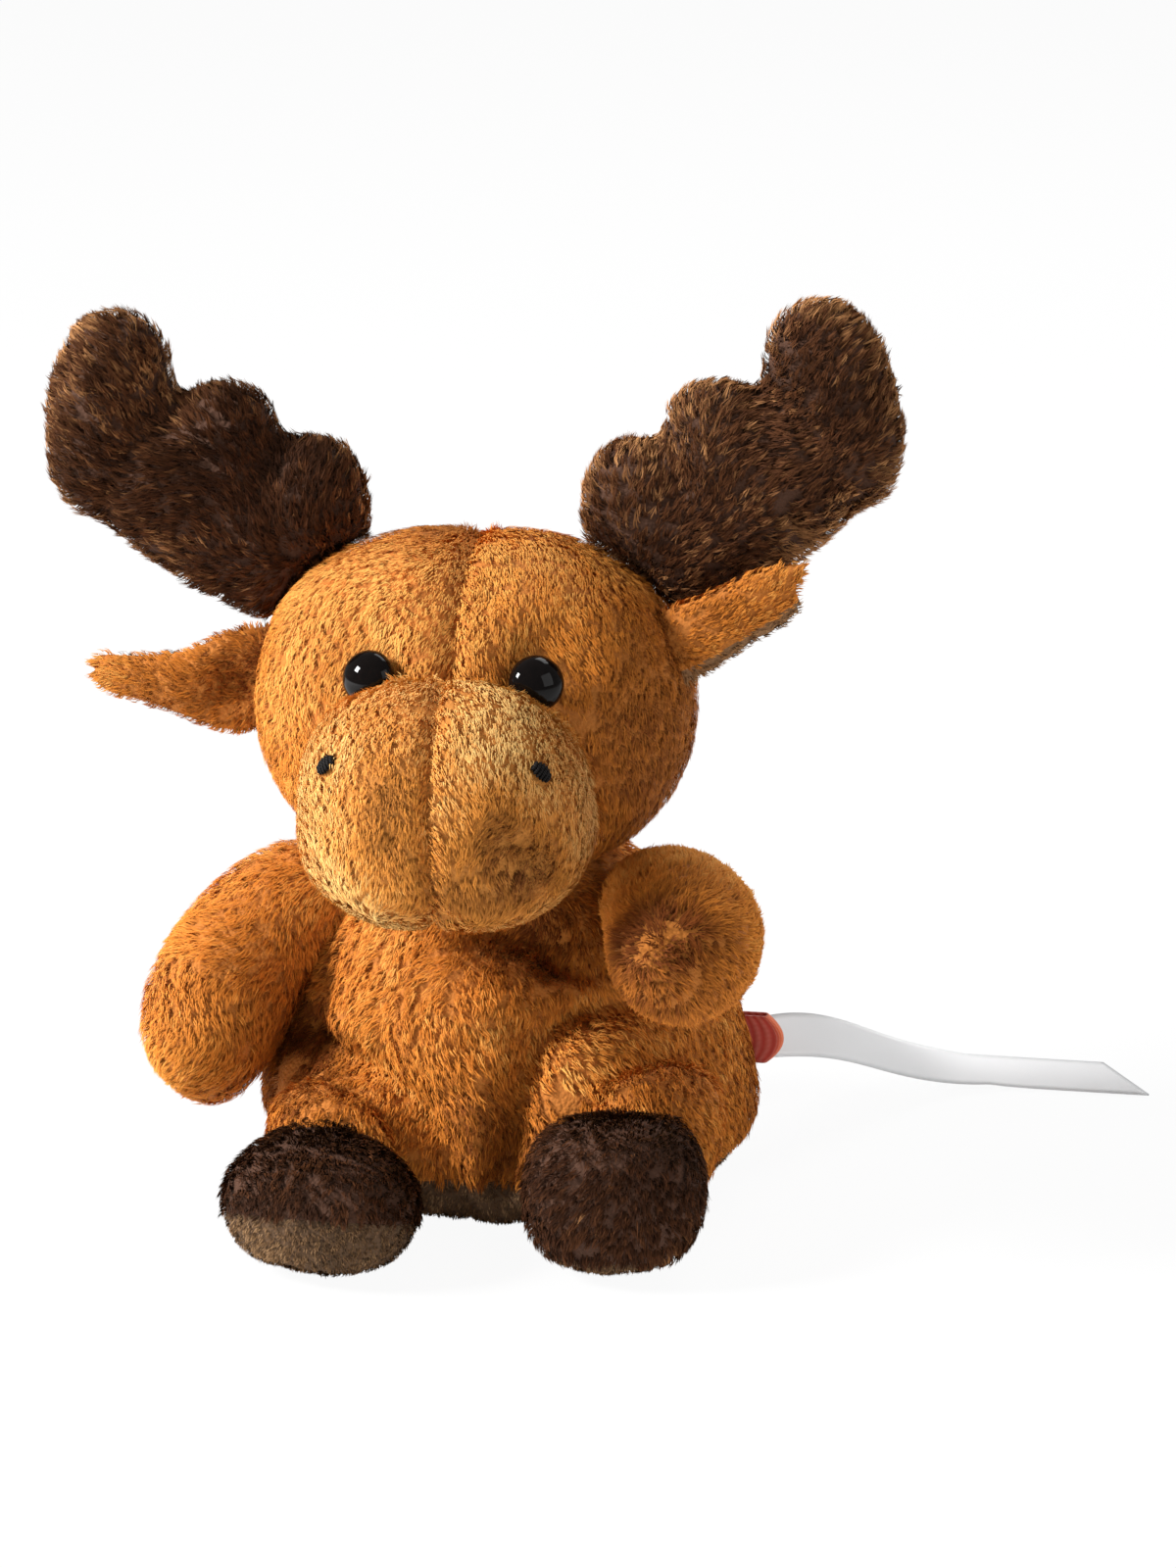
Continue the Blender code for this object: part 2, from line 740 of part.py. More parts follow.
data = bmesh.new()
sections = []
for step in range(-1, ribbon_steps + 1):
    share = max(step, 0) / ribbon_steps
    here = ribbon_tucked if step < 0 else ribbon_point(share)
    ahead = (ribbon_point(min(share + ribbon_probe_share, 1.0))
             - ribbon_point(max(share - ribbon_probe_share, 0.0)))
    ahead.normalize()
    level = up.cross(ahead).normalized()
    rise = ahead.cross(level).normalized()
    roll = math.radians(ribbon_roll) * max(0.0, 1.0 - share / ribbon_fall_share)
    wide = level * math.cos(roll) + rise * math.sin(roll)
    thick = ahead.cross(wide).normalized()
    slant = ahead * (ribbon_width * ribbon_cut_share if step == ribbon_steps else 0.0)
    corners = []
    for side, face in ((-1.0, -1.0), (1.0, -1.0), (1.0, 1.0), (-1.0, 1.0)):
        point = here + wide * side * ribbon_width / 2.0 + thick * face * ribbon_sheet / 2.0
        corners.append(data.verts.new(point - slant * side))
    sections.append(corners)
for first, second in zip(sections, sections[1:]):
    for i in range(4):
        j = (i + 1) % 4
        data.faces.new((first[i], first[j], second[j], second[i]))
data.faces.new(sections[0])
data.faces.new(sections[-1])
ribbon = make_object("ribbon", data)
swept_cut(ribbon, body_form, ribbon_start, ribbon_axis, ribbon_lift_range)

# Materials
for item in (body_skin, head_skin):
    paint(item, plush_colour, 0.85, 0.4)
for name, item in {**arms, **legs, **ears, **antlers}.items():
    if "fill" in name:
        paint(item, filling_colour, 0.95)
    elif "antler" in name or "hoof" in name:
        paint(item, dark_colour, 0.85, 0.4)
    elif "sole" in name:
        paint(item, sole_colour, 0.85)
    else:
        paint(item, plush_colour, 0.85, 0.4)
paint(muzzle_skin, muzzle_colour, 0.85, 0.4)
paint(base_panel, base_colour, 0.85)
for item in (body_fill, neck_wad, head_fill, muzzle_fill):
    paint(item, filling_colour, 0.95)
for item in eyes:
    paint(item, eye_colour, 0.06)
for item in washers:
    paint(item, washer_colour, 0.5)
for item in nostrils:
    paint(item, thread_colour, 0.6)
paint(side_label, label_colour, 0.7)
paint(ribbon, ribbon_colour, 0.35)


def hinge(name, pivot, axis, pieces):
    """Empty on the joint axis, its Z along the axis, that carries the moving pieces."""
    empty = bpy.data.objects.new(name, None)
    empty.empty_display_size = eye_radius
    empty.hide_render = True
    empty.location = pivot
    empty.rotation_mode = "QUATERNION"
    empty.rotation_quaternion = up.rotation_difference(Vector(axis).normalized())
    bpy.context.scene.collection.objects.link(empty)
    bpy.context.view_layer.update()
    for item in pieces:
        item.parent = empty
        item.matrix_parent_inverse = empty.matrix_world.inverted()
    return empty


pieces = [item for item in bpy.context.scene.objects if item.type == "MESH"]
for item in pieces:
    tidy(item)
    if item not in (side_label, ribbon):
        smooth(item)
turn_empty = hinge("head_turn_axis", neck_pivot, up, [neck_wad])
nod_empty = hinge("head_nod_axis", neck_pivot, head_across,
                  [head_skin, head_fill, muzzle_skin, muzzle_fill, *eyes, *washers, *nostrils])
nod_empty.parent = turn_empty
nod_empty.matrix_parent_inverse = turn_empty.matrix_world.inverted()
for side_name in ("right", "left"):
    ear_empty = hinge("ear_flap_axis_" + side_name, *ear_hinges[side_name],
                      [ears["ear_outer_" + side_name], ears["ear_lining_" + side_name]])
    antler_empty = hinge("antler_bend_axis_" + side_name, *antler_hinges[side_name],
                         [antlers["antler_skin_" + side_name],
                          antlers["antler_fill_" + side_name]])
    for empty in (ear_empty, antler_empty):
        empty.parent = nod_empty
        empty.matrix_parent_inverse = nod_empty.matrix_world.inverted()
    hinge("arm_axis_" + side_name, *arm_hinges[side_name],
          [arms["arm_skin_" + side_name], arms["arm_fill_" + side_name]])
    hinge("leg_axis_" + side_name, *leg_hinges[side_name],
          [legs[part + side_name] for part in ("leg_skin_", "hoof_skin_", "sole_", "leg_fill_")])
hinge("ribbon_lift_axis", ribbon_start, ribbon_axis, [ribbon])
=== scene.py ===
import json
import math
from collections import namedtuple

import bmesh
import bpy
import numpy as np
from mathutils import Matrix, Vector
from mathutils.bvhtree import BVHTree


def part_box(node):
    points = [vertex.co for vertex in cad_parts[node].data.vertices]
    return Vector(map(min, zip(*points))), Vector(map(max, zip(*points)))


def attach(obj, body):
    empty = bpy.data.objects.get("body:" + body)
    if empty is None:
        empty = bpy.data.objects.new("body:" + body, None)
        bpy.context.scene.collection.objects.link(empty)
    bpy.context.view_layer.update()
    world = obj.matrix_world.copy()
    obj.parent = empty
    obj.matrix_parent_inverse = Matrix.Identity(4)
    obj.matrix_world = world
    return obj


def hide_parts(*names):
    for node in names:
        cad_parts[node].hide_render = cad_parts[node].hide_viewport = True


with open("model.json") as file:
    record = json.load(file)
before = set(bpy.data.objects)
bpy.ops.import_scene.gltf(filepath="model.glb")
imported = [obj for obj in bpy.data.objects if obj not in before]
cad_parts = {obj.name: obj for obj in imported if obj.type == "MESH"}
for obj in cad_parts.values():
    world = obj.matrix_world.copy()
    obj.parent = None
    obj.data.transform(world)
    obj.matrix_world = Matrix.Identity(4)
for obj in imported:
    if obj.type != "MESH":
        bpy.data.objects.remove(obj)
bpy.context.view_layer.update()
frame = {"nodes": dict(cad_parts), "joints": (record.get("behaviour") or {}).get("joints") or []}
joints = {joint["name"]: Vector(joint["pos_m"]) for joint in frame["joints"]}

# Sizes, in metres and degrees. Left and right are the toy's own: its left is +X.

# Camera
camera_azimuth = 9.5
camera_elevation = 17.0
camera_distance = 0.500
camera_aside = 0.0091
camera_above = 0.0449
camera_lens_mm = 100.0
camera_film_mm = 36.0

# Floor and lamps: each lamp has a place, a width and a power
floor_width = 12.0
lamp_aim = (0.0, 0.0, 0.05)
lamps = {
    "key_lamp": ((-0.66, -0.29, 0.50), 0.20, 13.0),
    "fill_lamp": ((0.60, -0.30, 0.34), 0.45, 1.0),
    "back_lamp": ((0.24, 0.52, 0.66), 0.50, 3.0),
}
sky_strength = 0.27
floor_glow_share = 0.94

# Covers and their stuffing
weld_distance = 0.000002
smoothing_rounds = 3
body_fill = 0.7
head_fill = 0.9
limb_fill = 0.8
ear_fill = 0.3
big_voxel = 0.0013
small_voxel = 0.0010
antler_voxel = 0.0009
ear_voxel = 0.00055
cover_inset = 0.0008
cloth_scale = 8.0
cloth_frames = 20
cloth_settings = {"quality": 4, "mass": 0.3, "tension_stiffness": 12.0,
                  "compression_stiffness": 12.0, "shear_stiffness": 5.0,
                  "bending_stiffness": 0.3, "shrink_min": -0.05, "use_pressure": True,
                  "uniform_pressure_force": 4.0, "vertex_group_mass": "seams"}
swell_limit = 0.0011
seam_hold = 0.0010
rim_hold = 0.0009
hold_steps = (0.25, 0.5, 0.75, 1.0)
floor_hold = 0.0022
back_seam_start = 0.004
seam_depth = 0.0009
seam_reach = 0.0007
seam_parting = 0.00022
seam_back = 0.012
seam_fade = 0.007
muzzle_seam_reach = 0.0012
muzzle_seam_in_head = 0.0014
muzzle_seam_in_muzzle = 0.0005
muzzle_widths = ((0.036, 0.82), (0.042, 0.88), (0.047, 0.94), (0.053, 0.99), (0.060, 1.12),
                 (0.068, 1.16))
muzzle_lifts = ((0.036, 0.0016), (0.043, 0.0011), (0.050, 0.0), (0.058, 0.0009), (0.068, 0.0022))
muzzle_fuller_front = 0.0010
muzzle_fuller_span = (0.050, 0.060)
eye_dent_depth = 0.0007
eye_dent_reach = 0.0048
eye_hold = 0.0040
nostril_drop = 0.0020
nostril_forward = 0.0015
cover_rest = 0.0004
base_seam_height = 0.0058
base_seam_slope = 4.5
head_yaw = 3.0
neck_inner = 0.0060
neck_outer = 0.0150
neck_rise = 0.0045
neck_span = (0.028, 0.036)
sole_heights = {"right": 0.0060, "left": 0.0026}
sole_slopes = {"right": 20.0, "left": 8.0}

# Ears: edges as seen from the front, tip shape, and where their two cloths meet
ear_tops = {
    "right": ((-0.0438, 0.0620), (-0.0425, 0.0627), (-0.0392, 0.0626), (-0.0370, 0.0627),
              (-0.0336, 0.0634), (-0.0313, 0.0645), (-0.0291, 0.0657), (-0.0269, 0.0663),
              (-0.0240, 0.0671)),
    "left": ((0.0183, 0.0684), (0.0202, 0.0702), (0.0225, 0.0710), (0.0263, 0.0730),
             (0.0296, 0.0746), (0.0325, 0.0755), (0.0340, 0.0750)),
}
ear_bottoms = {
    "right": ((-0.0438, 0.0600), (-0.0425, 0.0588), (-0.0414, 0.0582), (-0.0381, 0.0573),
              (-0.0347, 0.0561), (-0.0325, 0.0553), (-0.0303, 0.0546), (-0.0286, 0.0546),
              (-0.0263, 0.0554), (-0.0240, 0.0562)),
    "left": ((0.0183, 0.0614), (0.0209, 0.0614), (0.0225, 0.0621), (0.0257, 0.0644),
             (0.0289, 0.0668), (0.0322, 0.0694), (0.0340, 0.0721)),
}
ear_tip_reach = 0.0055
ear_tip_blunt = 0.0018
ear_dent = (-0.0286, -0.0112, 0.0600)
ear_dent_depth = 0.0013
ear_dent_reach = 0.0024
ear_root_reach = 0.0045
ear_root_lap = 0.0005
ear_root_tuck = 0.0022
ear_inset = 0.00032
ear_strips = 24
ear_seam_turns = {"right": 0.0, "left": 42.0}
ear_seam_shifts = {"right": 0.0, "left": 0.0011}
ear_unders = {"right": (0.0, 0.0, -1.0), "left": (0.48, 0.0, -0.87)}

# Pile
tone_patch = 0.014
tone_fleck = 0.0035
comb_patch = 0.011
swirl_patch = 0.0088
ruffle_patch = 0.0035
ruffle_swirl = 2.0
ruffle_turn = 1.2
ruffle_wild = 1.5
ruffle_lean = 0.35
ruffle_length = 0.25
# Beside the covers that it is sewn to, the pile grows shorter and gets painted shade
crowded_reach = 0.0012
crowded_limit = 0.0030
crowded_painted_shade = 0.34
crowded_length = 0.35
crown_reach = 0.0030
crown_upright = 0.15
tone_limits = (0.02, 0.98)
strand_rest = 0.00015
strand_tone_width = 0.0012
strand_middle_share = 0.8
strand_widths = (0.7, 1.3)
stray_share = 0.35
stray_middle_share = 0.3
gather_middle_share = 0.4
# Level of an antler's painted rim light, by how far its surface faces sideways
rim_level = 0.6
underside_level = -0.6
strands_in_a_piece = 62000
root_sink = 0.00012
knit_size = 0.00045
knit_depth = knit_size / 3.0
knit_dark_share = 0.55
# Backing colour as a share of the middle strands: partly the knit's colour, partly painted shade in the
# gaps between tufts
plush_backing = 0.85
short_backing = 0.8
cut_clearance = 0.00008
cover_burial = 0.0012
head_burial = 0.0004
ear_burial = 0.0003
body_clearance = 0.0020
base_clearance = 0.0012
limb_clearance = 0.0010
eye_clearance = 0.0030
nostril_clearance = 0.0012
tone_ripples = ((tone_patch, 0.13), (tone_fleck, 0.06))
blade_tone_spread = 0.06
sway_share = 0.12
lean_spread = 0.07
length_spread = 0.12
bend_lean_share = 0.55
bend_place_share = 0.48
ripple_waves = 7
ripple_level = 2.6
ripple_spread = (0.6, 1.6)

# Eyes, nostrils and the stuffing of the neck
eye_radius = 0.0030
eye_rise = 0.0023
eye_lip = 0.00022
eye_steps = 14
eye_turns = 56
shank_radius = 0.0009
shank_length = 0.0050
shank_ribs = 5
shank_rib_height = 0.00012
eye_lip_round = 3.0
eye_back_share = 1.3
shank_collar_share = 1.6
shank_start_share = 1.5
shank_end_share = 0.7
nostril_half_width = 0.0012
nostril_half_height = 0.0010
nostril_threads = 6
nostril_proud = 0.0004
nostril_rise = 0.0005
nostril_end_share = 0.85
nostril_overlap = 1.25
nostril_curve = 0.5
neck_lump_size = 0.003
neck_lump_height = 0.05
neck_shrink = 0.03

# Label and ribbon
label_thickness = 0.00032
label_corner_pull = 0.0018
label_tuck = 0.001
label_steps = 8
label_turns = 12
label_strands = 12
ribbon_width = 0.0100
ribbon_thickness = 0.00022
ribbon_reach = 0.0235
ribbon_back = 0.0285
ribbon_floor_length = 0.0190
ribbon_bend_share = 0.50
ribbon_fall_share = 0.70
ribbon_roll = 24.0
ribbon_cut_share = 0.30
ribbon_tuck = 0.0060
ribbon_laps = 6.0
ribbon_lap_share = 0.01
ribbon_land_aside = 0.85
ribbon_land_back = 0.60
ribbon_rise = 0.00035
ribbon_lift_height = 0.0035
ribbon_evening = 70
ribbon_steps = 72
ribbon_strands = 8

# Folds of the body cover: where each runs, how deep, how wide, how much painted shade darkens its pile
body_folds = (
    (((-0.0227, -0.0089, 0.0209), (-0.0179, -0.0154, 0.0195), (-0.0121, -0.0192, 0.0189),
      (-0.0072, -0.0216, 0.0161), (-0.0037, -0.0232, 0.0112), (-0.0020, -0.0236, 0.0070)),
     0.0038, 0.0024, 0.58),
    (((0.0180, -0.0139, 0.0275), (0.0115, -0.0167, 0.0269), (0.0071, -0.0196, 0.0240),
      (0.0052, -0.0213, 0.0191), (0.0044, -0.0228, 0.0128), (0.0034, -0.0231, 0.0070)),
     0.0042, 0.0023, 0.40),
    (((-0.0180, -0.0120, 0.0330), (-0.0195, -0.0120, 0.0260), (-0.0215, -0.0130, 0.0180)),
     0.0026, 0.0022, 0.45),
    (((0.0015, -0.0152, 0.0352), (0.0062, -0.0142, 0.0342), (0.0085, -0.0148, 0.0323),
      (0.0125, -0.0148, 0.0308)), 0.0030, 0.0026, 0.52),
)

# Roots of the limbs, drawn into the body so that no gap opens when they move
arm_roots = {"right": (-0.0163, -0.0015, 0.0363), "left": (0.0197, -0.0016, 0.0322)}
arm_root_depth = 0.0090
arm_root_span = 0.0060
arm_root_burial = 0.0060
leg_root_depth = 0.0045
leg_root_reach = 0.0012
leg_root_burial = 0.0030

# Patches of pile: place, reach, change of tone, how ruffled. The changes of tone are painted light and
# shade: lighter where light falls, darker on the shaded side, in creases and under the muzzle and arms
head_light_shade_patches = (
    ((-0.0105, -0.0140, 0.0735), 0.0085, 0.42, 0.0),
    ((-0.0016, -0.0171, 0.0738), 0.0070, 0.10, 0.0),
    ((0.0178, -0.0150, 0.0580), 0.0110, -0.36, 0.0),
    ((-0.0180, -0.0150, 0.0640), 0.0080, 0.12, 0.0),
)
muzzle_light_shade_patches = (
    ((-0.0052, -0.0392, 0.0570), 0.0040, -0.26, 0.0),
    ((-0.0052, -0.0397, 0.0510), 0.0040, -0.28, 0.0),
    ((0.0055, -0.0375, 0.0555), 0.0035, -0.34, 0.8),
    ((0.0085, -0.0381, 0.0500), 0.0062, -0.66, 1.0),
    ((0.0000, -0.0396, 0.0450), 0.0060, -0.46, 0.6),
    ((-0.0160, -0.0300, 0.0560), 0.0060, 0.22, 0.0),
    ((-0.0120, -0.0350, 0.0610), 0.0048, 0.22, 0.0),
    ((-0.0070, -0.0280, 0.0665), 0.0060, 0.30, 0.0),
    ((0.0050, -0.0270, 0.0660), 0.0050, 0.12, 0.0),
)
# Painted shade under the muzzle, at the right hip under the arm and low on the belly; painted light on
# the front
body_light_shade_patches = (
    ((0.0062, -0.0142, 0.0342), 0.0065, -0.42, 0.3),
    ((-0.0222, -0.0100, 0.0215), 0.0055, -0.45, 0.0),
    ((-0.0205, -0.0165, 0.0175), 0.0055, -0.45, 0.0),
    ((-0.0181, -0.0089, 0.0304), 0.0050, -0.20, 0.2),
    ((-0.0063, -0.0173, 0.0294), 0.0070, 0.10, 0.4),
    ((-0.0011, -0.0221, 0.0168), 0.0060, -0.16, 0.2),
    ((0.0123, -0.0186, 0.0208), 0.0060, 0.12, 0.2),
)
arm_light_shade_patches = (
    ((0.0242, -0.0336, 0.0418), 0.0038, -0.34, 0.8),
    ((0.0228, -0.0338, 0.0424), 0.0030, -0.26, 0.0),
    ((0.0189, -0.0330, 0.0408), 0.0035, -0.30, 0.3),
    ((0.0245, -0.0320, 0.0355), 0.0090, -0.34, 0.2),
    ((-0.0300, -0.0150, 0.0300), 0.0080, 0.08, 0.2),
)
# Painted shadow of the right arm on the right hip
leg_painted_shade_patches = (((-0.0196, -0.0205, 0.0161), 0.0060, -0.52, 0.0),)
ear_light_shade_patches = (
    ((-0.0286, -0.0112, 0.0600), 0.0048, -0.46, 0.7),
    ((-0.0420, -0.0104, 0.0604), 0.0030, 0.20, 0.0),
)

# Changes of tone of whole covers
muzzle_tone = 0.22
hoof_tone = -0.35
# Painted rim light: an antler's pile is lighter where it faces sideways and darker where it faces front
# or back
antler_painted_rim_light = 0.56
antler_tones = {"right": 0.0, "left": 0.15}

# Where the pile is combed away from: places, and shifts from a cover's middle or its joint
crowns = {
    "base": (0.0, 0.0, 0.0300),
    "arm_right": (-0.0179, -0.0017, 0.0420),
    "arm_left": (0.0225, -0.0350, 0.0412),
    "leg_right": (-0.0138, -0.0080, 0.0200),
    "leg_left": (0.0154, -0.0080, 0.0240),
    "hoof_right": (-0.0138, -0.0215, 0.0170),
    "hoof_left": (0.0162, -0.0190, 0.0200),
}
body_crown_shift = (0.0, 0.0, 0.0040)
head_crown_shift = (0.0, 0.0060, 0.0190)
muzzle_crown_shift = (0.0, 0.0160, 0.0150)

# Colours, linear: a pile's deep, middle and light strands
plush_colours = ((0.170, 0.038, 0.004), (0.740, 0.240, 0.029), (0.950, 0.500, 0.120))
muzzle_colours = ((0.165, 0.045, 0.007), (0.790, 0.300, 0.046), (0.980, 0.650, 0.230))
dark_colours = ((0.030, 0.011, 0.005), (0.112, 0.041, 0.016), (0.560, 0.270, 0.105))
lining_colours = ((0.230, 0.100, 0.035), (0.400, 0.200, 0.080), (0.560, 0.330, 0.150))
sole_colours = ((0.045, 0.026, 0.012), (0.165, 0.085, 0.036), (0.380, 0.220, 0.105))
white = (1.0, 1.0, 1.0)
black = (0.0, 0.0, 0.0)
thread_dark = (0.002, 0.0015, 0.0015)


# Material sums

class Wire:
    """An output socket that takes part in sums."""

    def __init__(self, nodes, socket):
        self.nodes = nodes
        self.socket = socket


def sum_of(operation, swapped=False):
    """What an operator does with a wire and another wire or number."""
    def take(wire, other):
        first, second = (other, wire) if swapped else (wire, other)
        return wire.nodes.node("ShaderNodeMath", {0: first, 1: second}, operation=operation)
    return take


for word, operation in (("add", "ADD"), ("sub", "SUBTRACT"), ("mul", "MULTIPLY"), ("pow", "POWER")):
    setattr(Wire, "__" + word + "__", sum_of(operation))
    setattr(Wire, "__r" + word + "__", sum_of(operation, swapped=True))


class Nodes:
    """A node tree that is built from wires."""

    def __init__(self, tree):
        self.tree = tree

    def node(self, kind, sockets=None, output=0, stops=None, **settings):
        """Add a node: its settings first, then its sockets' values or links."""
        made = self.tree.nodes.new(kind)
        for key, value in settings.items():
            setattr(made, key, value)
        if stops is not None:
            ramp = made.color_ramp
            while len(ramp.elements) < len(stops):
                ramp.elements.new(0.5)
            for element, (place, colour) in zip(ramp.elements, stops):
                element.position = place
                element.color = (*colour, 1.0)
        for key, value in (sockets or {}).items():
            self.feed(made.inputs[key], value)
        return Wire(self, made.outputs[output])

    def feed(self, socket, value):
        """Link a wire to a socket, or set its value."""
        if isinstance(value, Wire):
            self.tree.links.new(value.socket, socket)
        elif isinstance(value, tuple) and socket.type == "RGBA":
            socket.default_value = (*value, 1.0)
        else:
            socket.default_value = value


class Finish(Nodes):
    """One material: its shader's fixed values, and the nodes that vary it."""

    def __init__(self, name, roughness=0.5, **fixed):
        self.material = bpy.data.materials.new(name)
        self.material.use_nodes = True
        super().__init__(self.material.node_tree)
        self.shader = self.tree.nodes["Principled BSDF"]
        self.set("Roughness", roughness)
        for key, value in fixed.items():
            self.set(key.replace("_", " "), value)

    def set(self, key, value):
        """Set or feed one of the shader's sockets."""
        self.feed(self.shader.inputs[key], value)

    def mix(self, share, first, second, blend="MIX"):
        """Colour between two colours."""
        return self.node("ShaderNodeMix", {0: share, 6: first, 7: second}, output=2,
                         data_type="RGBA", blend_type=blend)

    def ramp(self, share, *stops):
        """Colour along a row of stops."""
        return self.node("ShaderNodeValToRGB", {0: share}, stops=stops)

    def place(self):
        """Position on the piece, in metres."""
        return self.node("ShaderNodeTexCoord", output=3)

    def chart(self, name):
        """The two shares of a piece's own chart."""
        place = self.node("ShaderNodeUVMap", uv_map=name)
        return [self.node("ShaderNodeSeparateXYZ", {0: place}, output=part) for part in (0, 1)]

    def noise(self, size, detail=2.0):
        """Soft random pattern whose patches measure about size."""
        return self.node("ShaderNodeTexNoise", {"Vector": self.place(), "Scale": 1.0 / size,
                                                "Detail": detail})

    def threads(self, share, count):
        """Waves from 0 to 1, for threads that lie side by side."""
        return self.node("ShaderNodeMath", {0: share * count}, operation="SINE") * 0.5 + 0.5

    def bump(self, height, depth):
        """Raise the surface by up to depth where height is 1."""
        self.set("Normal", self.node("ShaderNodeBump", {"Height": height, "Distance": depth,
                                                        "Strength": 1.0}))


def pile_finish(name, deep, middle, light, root_share=0.60, sheen=0.08, specular=0.15):
    """Pile: each strand has its own tone, and darkens towards its root as painted shade deep in the
    pile.
    """
    finish = Finish(name, 0.75, Sheen_Weight=sheen, Sheen_Roughness=0.45, Specular_IOR_Level=specular)
    tone, along = finish.chart("OFBake")
    strand = finish.ramp(tone, (0.0, deep), (0.50, middle), (1.0, light))
    # Painted shade: strands darken towards the root, where the pile shades itself
    depth = finish.ramp(along, (0.0, (root_share,) * 3), (0.75, white))
    finish.set("Base Color", finish.mix(1.0, strand, depth, "MULTIPLY"))
    finish.shader.inputs["Sheen Tint"].default_value = (*light, 1.0)
    return finish.material


def backing_finish(name, colour):
    """Knitted backing under the pile: loops in rows, with uneven dye."""
    finish = Finish(name, 0.9)
    loops = finish.node("ShaderNodeTexVoronoi", {"Vector": finish.place(), "Scale": 1.0 / knit_size})
    patches = finish.noise(size=tone_fleck)
    dark = tuple(part * knit_dark_share for part in colour)
    finish.set("Base Color", finish.mix(patches, dark, colour))
    finish.bump(1.0 - loops, knit_depth)
    return finish.material


Cloth = namedtuple("Cloth", "slot backing strands")


def pile_cloth(slot, name, colours, backing_share, **fixed):
    """A cloth with pile: its slot, the backing's finish and the strands' finish."""
    # The backing is darker than the middle strands, partly as painted shade in the gaps of the pile
    colour = tuple(part * backing_share for part in colours[1])
    return Cloth(slot, backing_finish(name + "_backing", colour),
                 pile_finish(name + "_pile", *colours, **fixed))


def eye_finish():
    """Black moulded plastic, polished, with faint handling marks."""
    finish = Finish("eye_plastic_polished", 0.06, Specular_IOR_Level=0.16)
    marks = finish.noise(size=0.0006, detail=4.0)
    finish.set("Base Color", finish.mix(marks, thread_dark, (0.006, 0.004, 0.0035)))
    finish.set("Roughness", 0.03 + marks ** 3.0 * 0.08)
    return finish.material


def washer_finish():
    """Milky moulded plastic with a fine ground surface."""
    finish = Finish("washer_plastic_milky", 0.45)
    grain = finish.noise(size=0.00025, detail=4.0)
    finish.set("Base Color", finish.mix(grain, (0.62, 0.62, 0.60), (0.80, 0.80, 0.78)))
    finish.set("Roughness", 0.38 + grain * 0.2)
    finish.bump(grain, depth=0.00003)
    return finish.material


def thread_finish():
    """Black embroidery thread with twisted plies."""
    finish = Finish("thread_black", 0.6, Specular_IOR_Level=0.15)
    plies = finish.node("ShaderNodeTexWave", {"Vector": finish.place(), "Scale": 1500.0,
                                              "Distortion": 2.0, "Detail": 2.0},
                        bands_direction="DIAGONAL")
    finish.set("Base Color", finish.mix(plies, thread_dark, (0.012, 0.009, 0.008)))
    finish.bump(plies, depth=0.00004)
    return finish.material


def wadding_finish():
    """Loose white polyester fibre."""
    finish = Finish("stuffing_fibre", 0.85, Sheen_Weight=0.4)
    fibres = finish.noise(size=0.0007, detail=6.0)
    finish.set("Base Color", finish.mix(fibres, (0.70, 0.70, 0.68), (0.93, 0.93, 0.92)))
    finish.bump(fibres, depth=0.0003)
    return finish.material


def label_finish():
    """Red woven tape: ribs across it, an orange edge and a paler thread between ribs."""
    finish = Finish("label_tape", 0.6, Sheen_Weight=0.25)
    along, across = finish.chart("Cloth")
    ribs = finish.threads(along, count=110.0)
    warp = finish.threads(across, count=240.0)
    body = finish.ramp(along, (0.0, (0.36, 0.020, 0.010)), (0.30, (0.52, 0.032, 0.012)),
                       (0.42, (0.86, 0.150, 0.020)), (0.60, (0.86, 0.150, 0.020)),
                       (0.72, (0.46, 0.028, 0.012)))
    finish.set("Base Color", finish.mix(ribs * warp * 0.55, body, (0.80, 0.30, 0.22)))
    finish.bump(ribs * 0.6 + warp * 0.4, depth=0.00006)
    return finish.material


def satin_finish():
    """White satin ribbon: long floats along it, fine cross threads, firm woven edges."""
    finish = Finish("ribbon_satin_white", 0.34, Sheen_Weight=0.35, Specular_IOR_Level=0.5)
    along, across = finish.chart("Cloth")
    weft = finish.threads(along, count=2100.0)
    floats = finish.threads(across, count=420.0)
    edge = finish.ramp(across, (0.0, white), (0.05, black), (0.95, black), (1.0, white))
    slubs = finish.noise(size=0.004, detail=3.0)
    base = finish.mix(slubs, (0.92, 0.925, 0.935), (0.96, 0.962, 0.97))
    finish.set("Base Color", finish.mix(edge, base, (0.84, 0.85, 0.86)))
    finish.set("Roughness", 0.28 + floats * 0.10 + slubs * 0.08)
    finish.bump(floats * 0.7 + weft * 0.3, depth=0.00002)
    return finish.material


def floor_finish():
    """White floor that the camera sees as nearly even, with the shadow kept."""
    finish = Finish("floor_white", 0.9, Specular_IOR_Level=0.1)
    finish.set("Base Color", finish.mix(finish.noise(size=0.5), (0.90, 0.90, 0.90), (0.92, 0.92, 0.92)))
    seen = finish.node("ShaderNodeLightPath", output="Is Camera Ray")
    glow = finish.node("ShaderNodeEmission", {"Color": white, "Strength": 1.0})
    shown = finish.node("ShaderNodeMixShader", {0: seen * floor_glow_share,
                                                1: Wire(finish, finish.shader.outputs[0]),
                                                2: glow})
    finish.feed(finish.tree.nodes["Material Output"].inputs[0], shown)
    return finish.material


# Camera, floor and lamps

def put_in_scene(name, data):
    """New object in the scene."""
    item = bpy.data.objects.new(name, data)
    bpy.context.scene.collection.objects.link(item)
    return item


